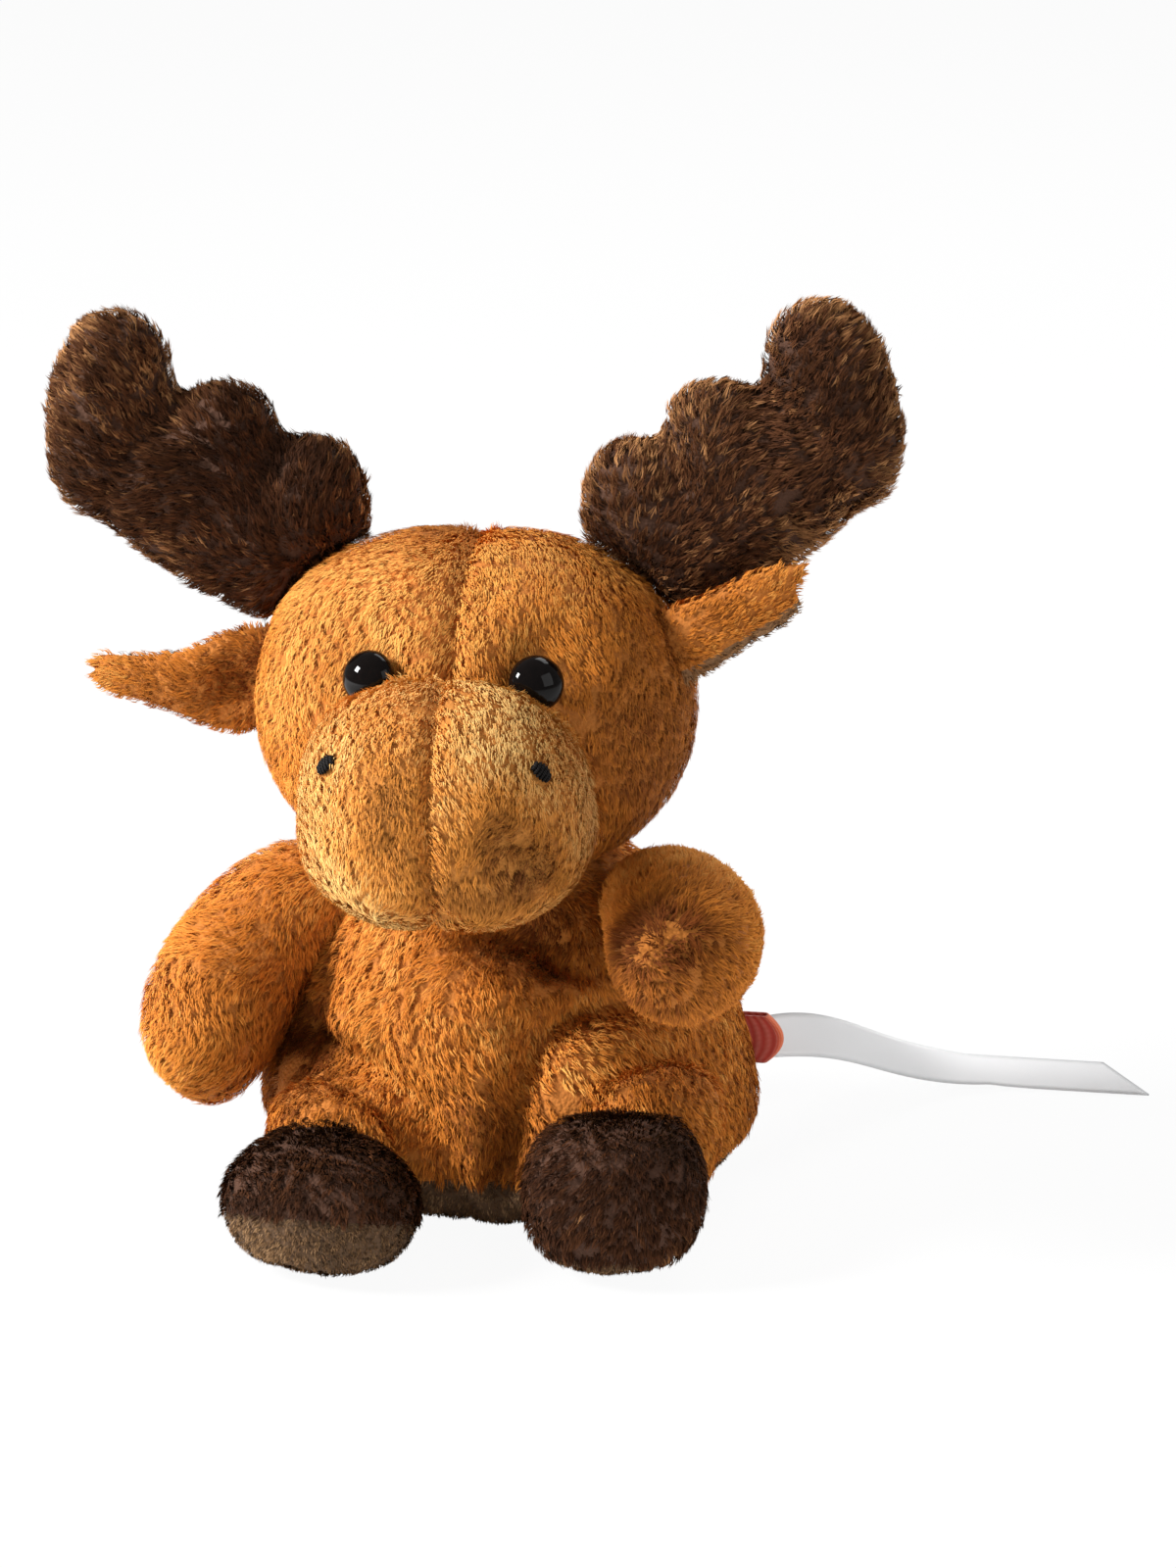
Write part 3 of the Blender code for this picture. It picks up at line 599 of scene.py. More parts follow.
def place_camera():
    """Camera at the photograph's height and side."""
    turn = math.radians(camera_azimuth)
    rise = math.radians(camera_elevation)
    right = Vector((math.cos(turn), math.sin(turn), 0.0))
    back = Vector((math.sin(turn) * math.cos(rise), -math.cos(turn) * math.cos(rise), math.sin(rise)))
    up = back.cross(right)
    place = right * camera_aside + up * camera_above + back * camera_distance
    data = bpy.data.cameras.new("camera")
    data.lens = camera_lens_mm
    data.sensor_width = camera_film_mm
    data.clip_start = 0.01
    item = put_in_scene("camera", data)
    item.matrix_world = (Matrix.Translation(place) @ Matrix((right, up, back)).transposed().to_4x4())
    bpy.context.scene.camera = item


def place_lamp(name, place, width, power):
    """Square soft lamp that faces the toy."""
    data = bpy.data.lights.new(name, "AREA")
    data.size = width
    data.energy = power
    item = put_in_scene(name, data)
    item.location = place
    toward = Vector(lamp_aim) - Vector(place)
    item.rotation_euler = toward.to_track_quat("-Z", "Y").to_euler()


def build_studio():
    """Floor, sky and three soft lamps."""
    data = bmesh.new()
    bmesh.ops.create_grid(data, x_segments=1, y_segments=1, size=floor_width / 2.0)
    floor = new_object("floor", data, floor_finish(), smooth=False)
    for name, (place, width, power) in lamps.items():
        place_lamp(name, place, width, power)
    world = bpy.data.worlds.new("studio")
    world.use_nodes = True
    sky = Nodes(world.node_tree)
    seen = sky.node("ShaderNodeLightPath", output="Is Camera Ray")
    grey = sky.node("ShaderNodeBackground", {"Color": white, "Strength": sky_strength})
    bright = sky.node("ShaderNodeBackground", {"Color": white, "Strength": 1.0})
    shown = sky.node("ShaderNodeMixShader", {0: seen, 1: grey, 2: bright})
    sky.feed(sky.tree.nodes["World Output"].inputs["Surface"], shown)
    bpy.context.scene.world = world
    bpy.context.scene.view_settings.view_transform = "Standard"


# Mesh helpers

def new_object(name, data, material, smooth=True):
    """Turn bmesh geometry into an object with one material."""
    mesh = bpy.data.meshes.new(name)
    data.to_mesh(mesh)
    data.free()
    item = put_in_scene(name, mesh)
    if material is not None:
        mesh.materials.append(material)
    mesh.polygons.foreach_set("use_smooth", [smooth] * len(mesh.polygons))
    return item


def rows_of(items, field):
    """One vector of each item, as rows."""
    rows = np.zeros(len(items) * 3)
    items.foreach_get(field, rows)
    return rows.reshape(-1, 3)


def points_of(item):
    """Vertex places as rows."""
    return rows_of(item.data.vertices, "co")


def normals_of(item):
    """Vertex normals as rows."""
    return rows_of(item.data.vertex_normals, "vector")


def put_points(item, rows):
    """Move the vertices to new places."""
    item.data.vertices.foreach_set("co", rows.ravel())
    item.data.update()


def unit(rows):
    """Rows of length one."""
    return rows / np.maximum(np.linalg.norm(rows, axis=1, keepdims=True), 1e-12)


def turned(first, second, angle):
    """Rows turned from one direction towards another."""
    return first * np.cos(angle)[:, None] + second * np.sin(angle)[:, None]


def smooth_step(values, low, high):
    """0 below low, 1 above high, and a smooth rise between."""
    share = np.clip((values - low) / (high - low), 0.0, 1.0)
    return share * share * (3.0 - 2.0 * share)


def ripple(rows, size, seed):
    """Smooth random value about -1 to 1 whose patches measure about size."""
    random = np.random.default_rng(seed)
    total = np.zeros(len(rows))
    for _ in range(ripple_waves):
        along = random.normal(size=3)
        along = along / np.linalg.norm(along) * random.uniform(*ripple_spread) / size
        total += np.sin(rows @ along * math.pi + random.uniform(0.0, 2.0 * math.pi))
    return total / ripple_level


def fall_off(away, reach):
    """1 at no distance, falling smoothly to 0 over a reach."""
    return np.exp(-(away / reach) ** 2)


def near_point(rows, point, reach):
    """1 at a point, falling to 0 over a reach."""
    return fall_off(np.linalg.norm(rows - np.array(point), axis=1), reach)


def near_plane(rows, point, normal, reach):
    """1 on a plane, falling to 0 over a reach."""
    return fall_off((rows - np.array(point)) @ np.array(normal), reach)


def near_path(rows, path, reach):
    """1 on a line through the path's points, falling to 0 over a reach."""
    nearest = np.full(len(rows), 1.0)
    for first, second in zip(path, path[1:]):
        start = np.array(first)
        span = np.array(second) - start
        share = np.clip((rows - start) @ span / (span @ span), 0.0, 1.0)
        nearest = np.minimum(nearest, np.linalg.norm(rows - start - share[:, None] * span, axis=1))
    return fall_off(nearest, reach)


def surface_tree(item):
    """Search tree over a piece's faces."""
    return BVHTree.FromPolygons(points_of(item).tolist(),
                                [face.vertices[:] for face in item.data.polygons])


def middle_of(node):
    """Middle of a node's box."""
    low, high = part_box(node)
    return (low + high) / 2.0


def install(item, body, slot, *nodes):
    """Give a piece its body and hide the CAD nodes that it stands for. The slot is not used."""
    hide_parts(*nodes)
    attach(item, body)


def bake_modifiers(item):
    """Put the result of the modifiers into the mesh."""
    bpy.context.view_layer.update()
    graph = bpy.context.evaluated_depsgraph_get()
    mesh = bpy.data.meshes.new_from_object(item.evaluated_get(graph))
    item.modifiers.clear()
    old = item.data
    item.data = mesh
    bpy.data.meshes.remove(old)
    mesh.name = item.name


# Stuffed covers

def press_in(item, depths):
    """Push the surface inward by one depth, or by a depth for each vertex."""
    put_points(item, points_of(item) - normals_of(item) * np.reshape(depths, (-1, 1)))


def solid_from(name, nodes, voxel, inset=cover_inset):
    """One closed form from a cover and its stuffing, drawn in to leave room for the pile."""
    data = bmesh.new()
    for node in nodes:
        data.from_mesh(frame["nodes"][node].data)
    bmesh.ops.remove_doubles(data, verts=data.verts, dist=weld_distance)
    item = new_object(name, data, None)
    step = item.modifiers.new("even_mesh", "REMESH")
    step.mode = "VOXEL"
    step.voxel_size = voxel
    bake_modifiers(item)
    data = bmesh.new()
    data.from_mesh(item.data)
    for _ in range(smoothing_rounds):
        bmesh.ops.smooth_vert(data, verts=data.verts, factor=0.5, use_axis_x=True,
                              use_axis_y=True, use_axis_z=True)
    data.to_mesh(item.data)
    data.free()
    press_in(item, inset)
    return item


def hold_seams(item, near):
    """Mark the vertices that seams hold still while the stuffing swells the rest."""
    group = item.vertex_groups.new(name="seams")
    for share in hold_steps:
        chosen = np.nonzero(near >= share)[0]
        group.add(chosen.tolist(), share, "REPLACE")


def swell(items):
    """Blow the covers up a little with cloth pressure, all together."""
    scene = bpy.context.scene
    before = {}
    for item in items:
        before[item.name] = points_of(item)
        item.data.transform(Matrix.Scale(cloth_scale, 4))
        step = item.modifiers.new("swell", "CLOTH")
        for key, value in cloth_settings.items():
            setattr(step.settings, key, value)
        step.settings.effector_weights.gravity = 0.0
        step.collision_settings.use_collision = False
        step.point_cache.frame_start = 1
        step.point_cache.frame_end = cloth_frames
    for number in range(1, cloth_frames + 1):
        scene.frame_set(number)
    for item in items:
        bake_modifiers(item)
        start = before[item.name]
        moved = points_of(item) / cloth_scale - start
        length = np.linalg.norm(moved, axis=1)
        moved *= np.minimum(1.0, swell_limit / np.maximum(length, 1e-9))[:, None]
        put_points(item, start + moved)
    scene.frame_set(1)


def rest_on_floor(item):
    """Flatten the underside of a cover where it would sink into the floor."""
    rows = points_of(item)
    rows[:, 2] = np.maximum(rows[:, 2], cover_rest)
    put_points(item, rows)


def refine(item):
    """One round of subdivision."""
    step = item.modifiers.new("finer", "SUBSURF")
    step.levels = 1
    step.render_levels = 1
    bake_modifiers(item)
    item.data.polygons.foreach_set("use_smooth", [True] * len(item.data.polygons))


def cut_off(item, name, point, normal):
    """Split a closed cover at a plane. The part that the normal points to is returned."""
    other = put_in_scene(name, item.data.copy())
    other.data.name = name
    for part, inner, outer in ((item, False, True), (other, True, False)):
        data = bmesh.new()
        data.from_mesh(part.data)
        cut = bmesh.ops.bisect_plane(data, geom=data.verts[:] + data.edges[:] + data.faces[:],
                                     plane_co=point, plane_no=normal,
                                     clear_inner=inner, clear_outer=outer)
        rim = [piece for piece in cut["geom_cut"] if isinstance(piece, bmesh.types.BMEdge)]
        bmesh.ops.edgenet_fill(data, edges=rim)
        data.to_mesh(part.data)
        data.free()
    return other


# Body and cloth of each dressed cover, by its name
dressed = {}


def dress(item, body, cloth, fill, *nodes):
    """Give a cover its cloth and its body, and hide the CAD nodes that it stands for. The fill, how
    full it is, is not used.
    """
    dressed[item.name] = body, cloth
    item.data.materials.clear()
    item.data.materials.append(cloth.backing)
    install(item, body, cloth.slot, *nodes)


# Pile

# How a cloth's pile grows: lengths in metres, tufts for each square metre
Pile = namedtuple("Pile", "length width tufts blades lean spread gather wild fleck soft twist",
                  defaults=(0.60, 0.55))
plush_pile = Pile(0.00130, 0.00017, 2.8e6, 5, 65.0, 0.00030, 0.52, 0.16, 0.10, 0.46)
arm_pile = Pile(0.00130, 0.00017, 2.8e6, 5, 65.0, 0.00030, 0.46, 0.15, 0.06, 0.54, 0.25)
head_pile = Pile(0.00110, 0.00015, 3.2e6, 5, 68.0, 0.00029, 0.36, 0.11, 0.05, 0.62, 0.20)
muzzle_pile = Pile(0.00105, 0.00015, 3.4e6, 5, 66.0, 0.00029, 0.36, 0.11, 0.05, 0.62, 0.15)
dark_pile = Pile(0.00155, 0.00017, 2.7e6, 6, 58.0, 0.00030, 0.74, 0.20, 0.15, 0.30)
hoof_pile = Pile(0.00115, 0.00016, 3.0e6, 6, 56.0, 0.00027, 0.62, 0.24, 0.14, 0.35)
ear_pile = Pile(0.00090, 0.00015, 3.8e6, 5, 62.0, 0.00022, 0.40, 0.16, 0.08)
lining_pile = Pile(0.00070, 0.00014, 3.6e6, 4, 62.0, 0.00022, 0.40, 0.18, 0.06)
sole_pile = Pile(0.00050, 0.00014, 5.0e6, 4, 45.0, 0.00022, 0.25, 0.40, 0.20)


def scatter(item, each_square_metre, random):
    """Even random places on a cover with their normals."""
    item.data.calc_loop_triangles()
    corners = np.zeros(len(item.data.loop_triangles) * 3, np.int64)
    item.data.loop_triangles.foreach_get("vertices", corners)
    corners = corners.reshape(-1, 3)
    points = points_of(item)[corners]
    normals = normals_of(item)[corners]
    sizes = np.linalg.norm(np.cross(points[:, 1] - points[:, 0], points[:, 2] - points[:, 0]),
                           axis=1) / 2.0
    count = int(sizes.sum() * each_square_metre)
    chosen = np.searchsorted(np.cumsum(sizes), random.uniform(0.0, sizes.sum(), count))
    chosen = np.minimum(chosen, len(sizes) - 1)
    first = np.sqrt(random.uniform(size=count))
    second = random.uniform(size=count)
    shares = np.stack((1.0 - first, first * (1.0 - second), first * second), axis=1)
    return ((points[chosen] * shares[:, :, None]).sum(axis=1),
            unit((normals[chosen] * shares[:, :, None]).sum(axis=1)))


def buried(rows, others, depth):
    """Which rows lie deeper than depth inside any of the other covers."""
    inside = np.zeros(len(rows), bool)
    for other in others:
        corners = points_of(other)
        boxed = (rows > corners.min(axis=0)) & (rows < corners.max(axis=0))
        tree = surface_tree(other)
        near = np.nonzero(boxed.all(axis=1) & ~inside)[0]
        for number in near:
            point, normal, _, _ = tree.find_nearest(Vector(rows[number]))
            if (Vector(rows[number]) - point).dot(normal) < -depth:
                inside[number] = True
    return inside


def beside_covers(rows, others):
    """1 where a row lies on the surface of another cover, falling to 0 over a short reach."""
    near = np.zeros(len(rows))
    for other in others:
        tree = surface_tree(other)
        for number, row in enumerate(rows):
            away = tree.find_nearest(Vector(row), crowded_limit)[3]
            if away is not None:
                near[number] = max(near[number], fall_off(away, crowded_reach))
    return near


def strand_mesh(name, root, middle, tip, aside, out, soft, tone, material):
    """Mesh of tapered bent strands, five points and two faces each, shaded softly."""
    count = len(root)
    out = unit(out * soft + unit(np.cross(aside, tip - root)) * (1.0 - soft))
    half = aside / 2.0
    narrow = half * strand_middle_share
    rows = np.stack((root - half, root + half, middle - narrow, middle + narrow, tip),
                    axis=1).reshape(-1, 3)
    mesh = bpy.data.meshes.new(name)
    mesh.vertices.add(count * 5)
    mesh.vertices.foreach_set("co", rows.ravel())
    pattern = np.array((0, 1, 3, 2, 2, 3, 4))
    corners = (np.arange(count)[:, None] * 5 + pattern).ravel()
    mesh.loops.add(count * 7)
    mesh.loops.foreach_set("vertex_index", corners)
    mesh.polygons.add(count * 2)
    starts = (np.arange(count)[:, None] * 7 + np.array((0, 4))).ravel()
    mesh.polygons.foreach_set("loop_start", starts)
    mesh.polygons.foreach_set("use_smooth", np.ones(count * 2, bool))
    across = np.array((-1.0, 1.0, 1.0, -1.0, -1.0, 1.0, 0.0)) * strand_tone_width
    along = np.array((0.0, 0.0, 0.5, 0.5, 0.5, 0.5, 1.0))
    chart = np.stack((tone[:, None] + across, np.broadcast_to(along, (count, 7))), axis=2)
    layer = mesh.uv_layers.new(name="OFBake")
    layer.data.foreach_set("uv", chart.ravel())
    mesh.materials.append(material)
    mesh.update()
    mesh.normals_split_custom_set_from_vertices(np.repeat(out, 5, axis=0))
    return put_in_scene(name, mesh)


def grow_pile(cover, pile, crown, seed, keep=None, others=(), swirl=0.35, tone_shift=0.0,
              burial=cover_burial, cuts=(), patches=(), painted_rim_light=0.0, beside=(), folds=()):
    """Grow tufts over a cover, combed away from a crown point, with patchy tone and painted light and
    shade.

    A patch is a place, its reach, its change of tone, and how far its pile is ruffled up; a lighter
    patch is painted light and a darker one painted shade.
    Folds darken the pile with painted shade, and beside the covers that it is sewn to the pile has
    painted shade and is shorter; antlers get painted rim light.
    The pile is darker and shorter beside the covers that it is sewn to.
    """
    body, cloth = dressed[cover.name]
    random = np.random.default_rng(seed)
    roots, normals = scatter(cover, pile.tufts, random)
    kept = np.ones(len(roots), bool) if keep is None else keep(roots, normals)
    for point, normal in cuts:
        kept &= np.abs((roots - np.array(point)) @ np.array(normal)) > cut_clearance
    roots, normals = roots[kept], normals[kept]
    kept = ~buried(roots, others, burial)
    roots, normals = roots[kept], normals[kept]
    comb = roots - np.array(crown)
    comb = comb - normals * (comb * normals).sum(axis=1, keepdims=True)
    upright = np.clip(np.linalg.norm(comb, axis=1) / crown_reach, crown_upright, 1.0)
    comb = unit(comb)
    painted_light_shade = np.zeros(len(roots))
    ruffle = np.zeros(len(roots))
    # Painted light and shade from the patches, with ruffled pile
    for place, reach, change, rough in patches:
        near = near_point(roots, place, reach)
        painted_light_shade += near * change
        ruffle = np.maximum(ruffle, near * rough)
    # Painted shade along the folds of the body
    for path, _, reach, dark in folds:
        painted_light_shade -= dark * near_path(roots, path, reach)
    # Painted shade beside the covers that the pile is sewn to
    crowded = beside_covers(roots, beside)
    painted_light_shade -= crowded * crowded_painted_shade
    # Painted rim light on the antlers: lighter where the surface faces sideways
    painted_light_shade += painted_rim_light * (rim_level - np.abs(normals @ np.array(head_back)))
    turn = (swirl * (1.0 + ruffle * ruffle_swirl) * ripple(roots, swirl_patch, seed + 1)
            + ruffle * ruffle_turn * ripple(roots, ruffle_patch, seed + 5)
            + random.normal(0.0, pile.wild, len(roots)) * (1.0 + ruffle * ruffle_wild))
    side = np.cross(normals, comb)
    comb = turned(comb, side, turn)
    side = np.cross(normals, comb)
    sway = (1.0 + sway_share * ripple(roots, comb_patch, seed + 2)
            + random.normal(0.0, lean_spread, len(roots)))
    lean = upright * (1.0 - ruffle * ruffle_lean) * np.radians(pile.lean) * sway
    uneven = 1.0 + random.normal(0.0, length_spread, len(roots))
    long = pile.length * (1.0 + ruffle * ruffle_length)
    long = long * (1.0 - crowded * crowded_length) * uneven
    tuft_tip = turned(normals, comb, lean) * long[:, None]
    tuft_middle = turned(normals, comb, lean * bend_lean_share) * (long * bend_place_share)[:, None]
    tone = 0.50 + tone_shift + painted_light_shade
    for step, (size, share) in enumerate(tone_ripples, 3):
        tone = tone + share * ripple(roots, size, seed + step)
    tone = tone + random.normal(0.0, pile.fleck, len(roots))
    many = pile.blades
    roots, normals, comb, side, tuft_tip, tuft_middle = (
        np.repeat(rows, many, axis=0)
        for rows in (roots, normals, comb, side, tuft_tip, tuft_middle))
    tone = np.repeat(tone, many) + random.normal(0.0, blade_tone_spread, len(roots))
    offset = (side * random.normal(0.0, pile.spread, len(roots))[:, None]
              + comb * random.normal(0.0, pile.spread, len(roots))[:, None])
    stray = random.normal(0.0, pile.spread * stray_share, (len(roots), 3))
    start = roots + offset - normals * root_sink
    middle = (roots + offset * (1.0 - pile.gather * gather_middle_share) + tuft_middle
              + stray * stray_middle_share)
    tip = roots + offset * (1.0 - pile.gather) + tuft_tip + stray
    twist = random.normal(0.0, pile.twist, len(roots))
    wide = pile.width * random.uniform(*strand_widths, len(roots))
    aside = -turned(side, normals, twist) * wide[:, None]
    for rows in (start, middle, tip):
        rows[:, 2] = np.maximum(rows[:, 2], strand_rest)
    tone = np.clip(tone, *tone_limits)
    pieces = max(1, math.ceil(len(roots) / strands_in_a_piece))
    order = np.argsort(roots[:, 2], kind="stable")
    for number, chosen in enumerate(np.array_split(order, pieces), 1):
        label = cover.name + "_pile" + ("_" + str(number) if pieces > 1 else "")
        item = strand_mesh(label, start[chosen], middle[chosen], tip[chosen], aside[chosen],
                           normals[chosen], pile.soft, tone[chosen], cloth.strands)
        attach(item, body)


# The covers

def underside(slope):
    """Direction under a seam that rises towards the front."""
    angle = math.radians(slope)
    return (0.0, -math.sin(angle), -math.cos(angle))


def stuffed(limb, side):
    """A limb's two CAD nodes: its skin and its stuffing."""
    return limb + "_skin_" + side, limb + "_fill_" + side


head_turned = math.radians(head_yaw)
head_across = Vector((math.cos(head_turned), math.sin(head_turned), 0.0))
head_back = Vector((-math.sin(head_turned), math.cos(head_turned), 0.0))
base_cut = ((0.0, 0.0, base_seam_height), underside(base_seam_slope))
head_middle = middle_of("head_skin")
muzzle_middle = middle_of("muzzle_skin")


def body_cover():
    """Body, with a collar under the head and folds pressed into its front."""
    item = solid_from("body", ("body_skin", "body_fill", "base_panel"), big_voxel)
    rows = points_of(item)
    from_neck = np.linalg.norm((rows - np.array(joints["head_turn"]))[:, :2], axis=1)
    collar = 1.0 - smooth_step(from_neck, neck_inner, neck_outer)
    rows[:, 2] += neck_rise * collar * smooth_step(rows[:, 2], *neck_span)
    put_points(item, rows)
    back_seam = near_plane(rows, (0.0, 0.0, 0.0), (1.0, 0.0, 0.0), seam_hold)
    held = np.maximum(back_seam * (rows[:, 1] > back_seam_start), on_floor(rows))
    held = np.maximum(held, near_plane(rows, *base_cut, seam_hold))
    depths = np.zeros(len(rows))
    for path, depth, reach, _ in body_folds:
        near = near_path(rows, path, reach)
        depths = np.maximum(depths, near * depth)
        held = np.maximum(held, near)
    press_in(item, depths)
    hold_seams(item, held)
    return item


def head_cover():
    """Head, a little dented at the eyes."""
    item = solid_from("head", ("head_skin", "head_fill"), big_voxel)
    rows = points_of(item)
    held = near_plane(rows, head_middle, head_across, seam_hold)
    for spot in eye_spots:
        press_in(item, eye_dent_depth * near_point(rows, spot, eye_dent_reach))
        held = np.maximum(held, near_point(rows, spot, eye_hold))
    hold_seams(item, held)
    return item


def muzzle_cover():
    """Muzzle, fuller at the top and narrower at the bottom."""
    item = solid_from("muzzle", ("muzzle_skin", "muzzle_fill"), small_voxel)
    rows = points_of(item)
    wide = np.interp(rows[:, 2], *zip(*muzzle_widths))
    lift = np.interp(rows[:, 2], *zip(*muzzle_lifts))
    rows[:, 0] += (rows[:, 0] - muzzle_middle.x) * (wide - 1.0)
    rows[:, 1] -= muzzle_fuller_front * smooth_step(rows[:, 2], *muzzle_fuller_span)
    rows[:, 2] += lift
    put_points(item, rows)
    hold_seams(item, near_plane(rows, muzzle_middle, head_across, rim_hold))
    return item


def on_floor(rows):
    """1 for the rows that the floor holds."""
    return np.where(rows[:, 2] < floor_hold, 1.0, 0.0)


def on_rim(rows, side):
    """Near 1 on the seam around an antler's rim."""
    return near_plane(rows, middle_of("antler_skin_" + side), head_back, rim_hold)


def limb_cover(name, nodes, voxel, held=None, *place):
    """Arm, leg, hoof or antler, with the part of it that is held still."""
    item = solid_from(name, nodes, voxel)
    rows = points_of(item)
    hold_seams(item, np.zeros(len(rows)) if held is None else held(rows, *place))
    return item


def seam_between(first, second):
    """How near each vertex of the first cover is to the surface of the second."""
    tree = surface_tree(second)
    away = np.array([tree.find_nearest(Vector(row))[3] for row in points_of(first)])
    return fall_off(away, muzzle_seam_reach)


def draw_arm_in(item, root):
    """Draw an arm's shoulder level into the body, so that a lifted arm is still sewn on."""
    rows = points_of(item)
    inward = joints["head_turn"] - Vector(root)
    inward.z = 0.0
    depth = arm_root_depth * near_point(rows, root, arm_root_span)
    put_points(item, rows + np.array(inward.normalized()) * depth[:, None])


def draw_leg_in(item, other):
    """Draw the thin edge where a leg lies on the body into the body."""
    tree = surface_tree(other)
    rows = points_of(item)
    for number, row in enumerate(rows):
        _, normal, _, away = tree.find_nearest(Vector(row))
        rows[number] -= np.array(normal) * leg_root_depth * fall_off(away, leg_root_reach)
    put_points(item, rows)


def ear_cover(side):
    """Flat stuffless ear, its root reaching into the head."""
    item = solid_from("ear_" + side, ("ear_outer_" + side, "ear_lining_" + side), ear_voxel, ear_inset)
    rows = points_of(item)
    edges = np.linspace(rows[:, 0].min(), rows[:, 0].max(), ear_strips + 1)
    middles = (edges[1:] + edges[:-1]) / 2.0
    number = np.clip(np.searchsorted(edges, rows[:, 0]) - 1, 0, ear_strips - 1)
    strips = [rows[number == each, 2] for each in range(ear_strips)]
    top = np.interp(rows[:, 0], middles, [strip.max() for strip in strips])
    bottom = np.interp(rows[:, 0], middles, [strip.min() for strip in strips])
    share = np.clip((rows[:, 2] - bottom) / (top - bottom), 0.0, 1.0)
    new_top = np.interp(rows[:, 0], *zip(*ear_tops[side]))
    new_bottom = np.interp(rows[:, 0], *zip(*ear_bottoms[side]))
    rows[:, 2] = new_bottom + (new_top - new_bottom) * share
    outward = 1.0 if side == "left" else -1.0
    from_tip = (rows[:, 0] * outward).max() - rows[:, 0] * outward
    at_tip = 1.0 - smooth_step(from_tip, 0.0, ear_tip_reach)
    rows[:, 0] += outward * ear_tip_blunt * at_tip * (2.0 * share - 1.0) ** 2
    dent = ear_dent_depth * near_point(rows, ear_dent, ear_dent_reach)
    rows += dent[:, None] * np.array(head_back)
    root = np.array(joints["ear_flap_" + side])
    inward = unit((np.array(head_middle) - root)[None, :])[0]
    from_root = (root - rows) @ inward
    tuck = 1.0 - smooth_step(from_root, -ear_root_lap, ear_root_reach)
    rows += inward * (ear_root_tuck * tuck)[:, None]
    put_points(item, rows)
    return item


sides = ("right", "left")
eye_spots = [middle_of("eye_" + side) for side in sides]
place_camera()
build_studio()

plush = pile_cloth("plush", "plush", plush_colours, plush_backing)
muzzle_plush = pile_cloth("muzzle_plush", "muzzle", muzzle_colours, plush_backing, root_share=0.72)
dark_plush = pile_cloth("dark_plush", "dark", dark_colours, short_backing, sheen=0.05, specular=0.06)
lining = pile_cloth("plush", "lining", lining_colours, short_backing, root_share=0.5)
sole_cloth = pile_cloth("sole_cloth", "sole", sole_colours, short_backing, root_share=0.5)
base_cloth = sole_cloth._replace(slot="base_cloth")

body = body_cover()
head = head_cover()
muzzle = muzzle_cover()
arms, legs, feet, antlers, ears = {}, {}, {}, {}, {}
for side in sides:
    arms[side] = limb_cover("arm_" + side, stuffed("arm", side), small_voxel)
    legs[side] = limb_cover("leg_" + side, stuffed("leg", side), small_voxel, on_floor)
    feet[side] = limb_cover("hoof_" + side, ("hoof_skin_" + side, "sole_" + side,
                                             "leg_fill_" + side), small_voxel, on_floor)
    antlers[side] = limb_cover("antler_" + side, stuffed("antler", side), antler_voxel, on_rim, side)
    ears[side] = ear_cover(side)

soft = [body, head, muzzle, *arms.values(), *legs.values(), *feet.values(), *antlers.values()]
swell(soft)
for item in soft:
    refine(item)
    rest_on_floor(item)

for side in sides:
    draw_arm_in(arms[side], arm_roots[side])
    draw_leg_in(legs[side], body)
    rest_on_floor(legs[side])

# Stitched grooves at the middle of head and muzzle, and where the muzzle is sewn on
rows = points_of(head)
seam_end = head_middle.y + seam_back
press_in(head, near_plane(rows, head_middle, head_across, seam_reach)
         * (1.0 - smooth_step(rows[:, 1], seam_end - seam_fade, seam_end)) * seam_depth)
press_in(muzzle, near_plane(points_of(muzzle), muzzle_middle, head_across, seam_reach) * seam_depth)
near_muzzle = seam_between(head, muzzle) * muzzle_seam_in_head
near_head = seam_between(muzzle, head) * muzzle_seam_in_muzzle
press_in(head, near_muzzle)
press_in(muzzle, near_head)

# Base panel, soles and ear backs are cut from their covers at the seams
base = cut_off(body, "base", *base_cut)
soles, sole_cuts, linings, ear_cuts = {}, {}, {}, {}
for side in sides:
    seam_point = middle_of("sole_" + side)
    seam_point.z = sole_heights[side]
    sole_cuts[side] = (tuple(seam_point), underside(sole_slopes[side]))
    soles[side] = cut_off(feet[side], "sole_cloth_" + side, *sole_cuts[side])
    ear_middle = (middle_of("ear_lining_" + side) + middle_of("ear_outer_" + side)) / 2.0
    turn = math.radians(ear_seam_turns[side])
    under = Vector(ear_unders[side])
    ear_middle += under * ear_seam_shifts[side]
    ear_cuts[side] = (tuple(ear_middle), tuple(head_back * math.cos(turn) + under * math.sin(turn)))
    linings[side] = cut_off(ears[side], "ear_back_" + side, *ear_cuts[side])

dress(body, "body", plush, body_fill, "body_skin", "body_fill")
dress(base, "body", base_cloth, body_fill, "base_panel")
dress(head, "head", plush, head_fill, "head_skin", "head_fill")
dress(muzzle, "head", muzzle_plush, head_fill, "muzzle_skin", "muzzle_fill")
for side in sides:
    dress(arms[side], "arm_" + side, plush, limb_fill, *stuffed("arm", side))
    dress(legs[side], "leg_" + side, plush, limb_fill, *stuffed("leg", side))
    dress(feet[side], "leg_" + side, dark_plush, limb_fill, "hoof_skin_" + side)
    dress(soles[side], "leg_" + side, sole_cloth, limb_fill, "sole_" + side)
    dress(antlers[side], "antler_" + side, dark_plush, limb_fill, *stuffed("antler", side))
    dress(ears[side], "ear_" + side, plush, ear_fill, "ear_lining_" + side)
    dress(linings[side], "ear_" + side, lining, ear_fill, "ear_outer_" + side)


# Pile on every cover

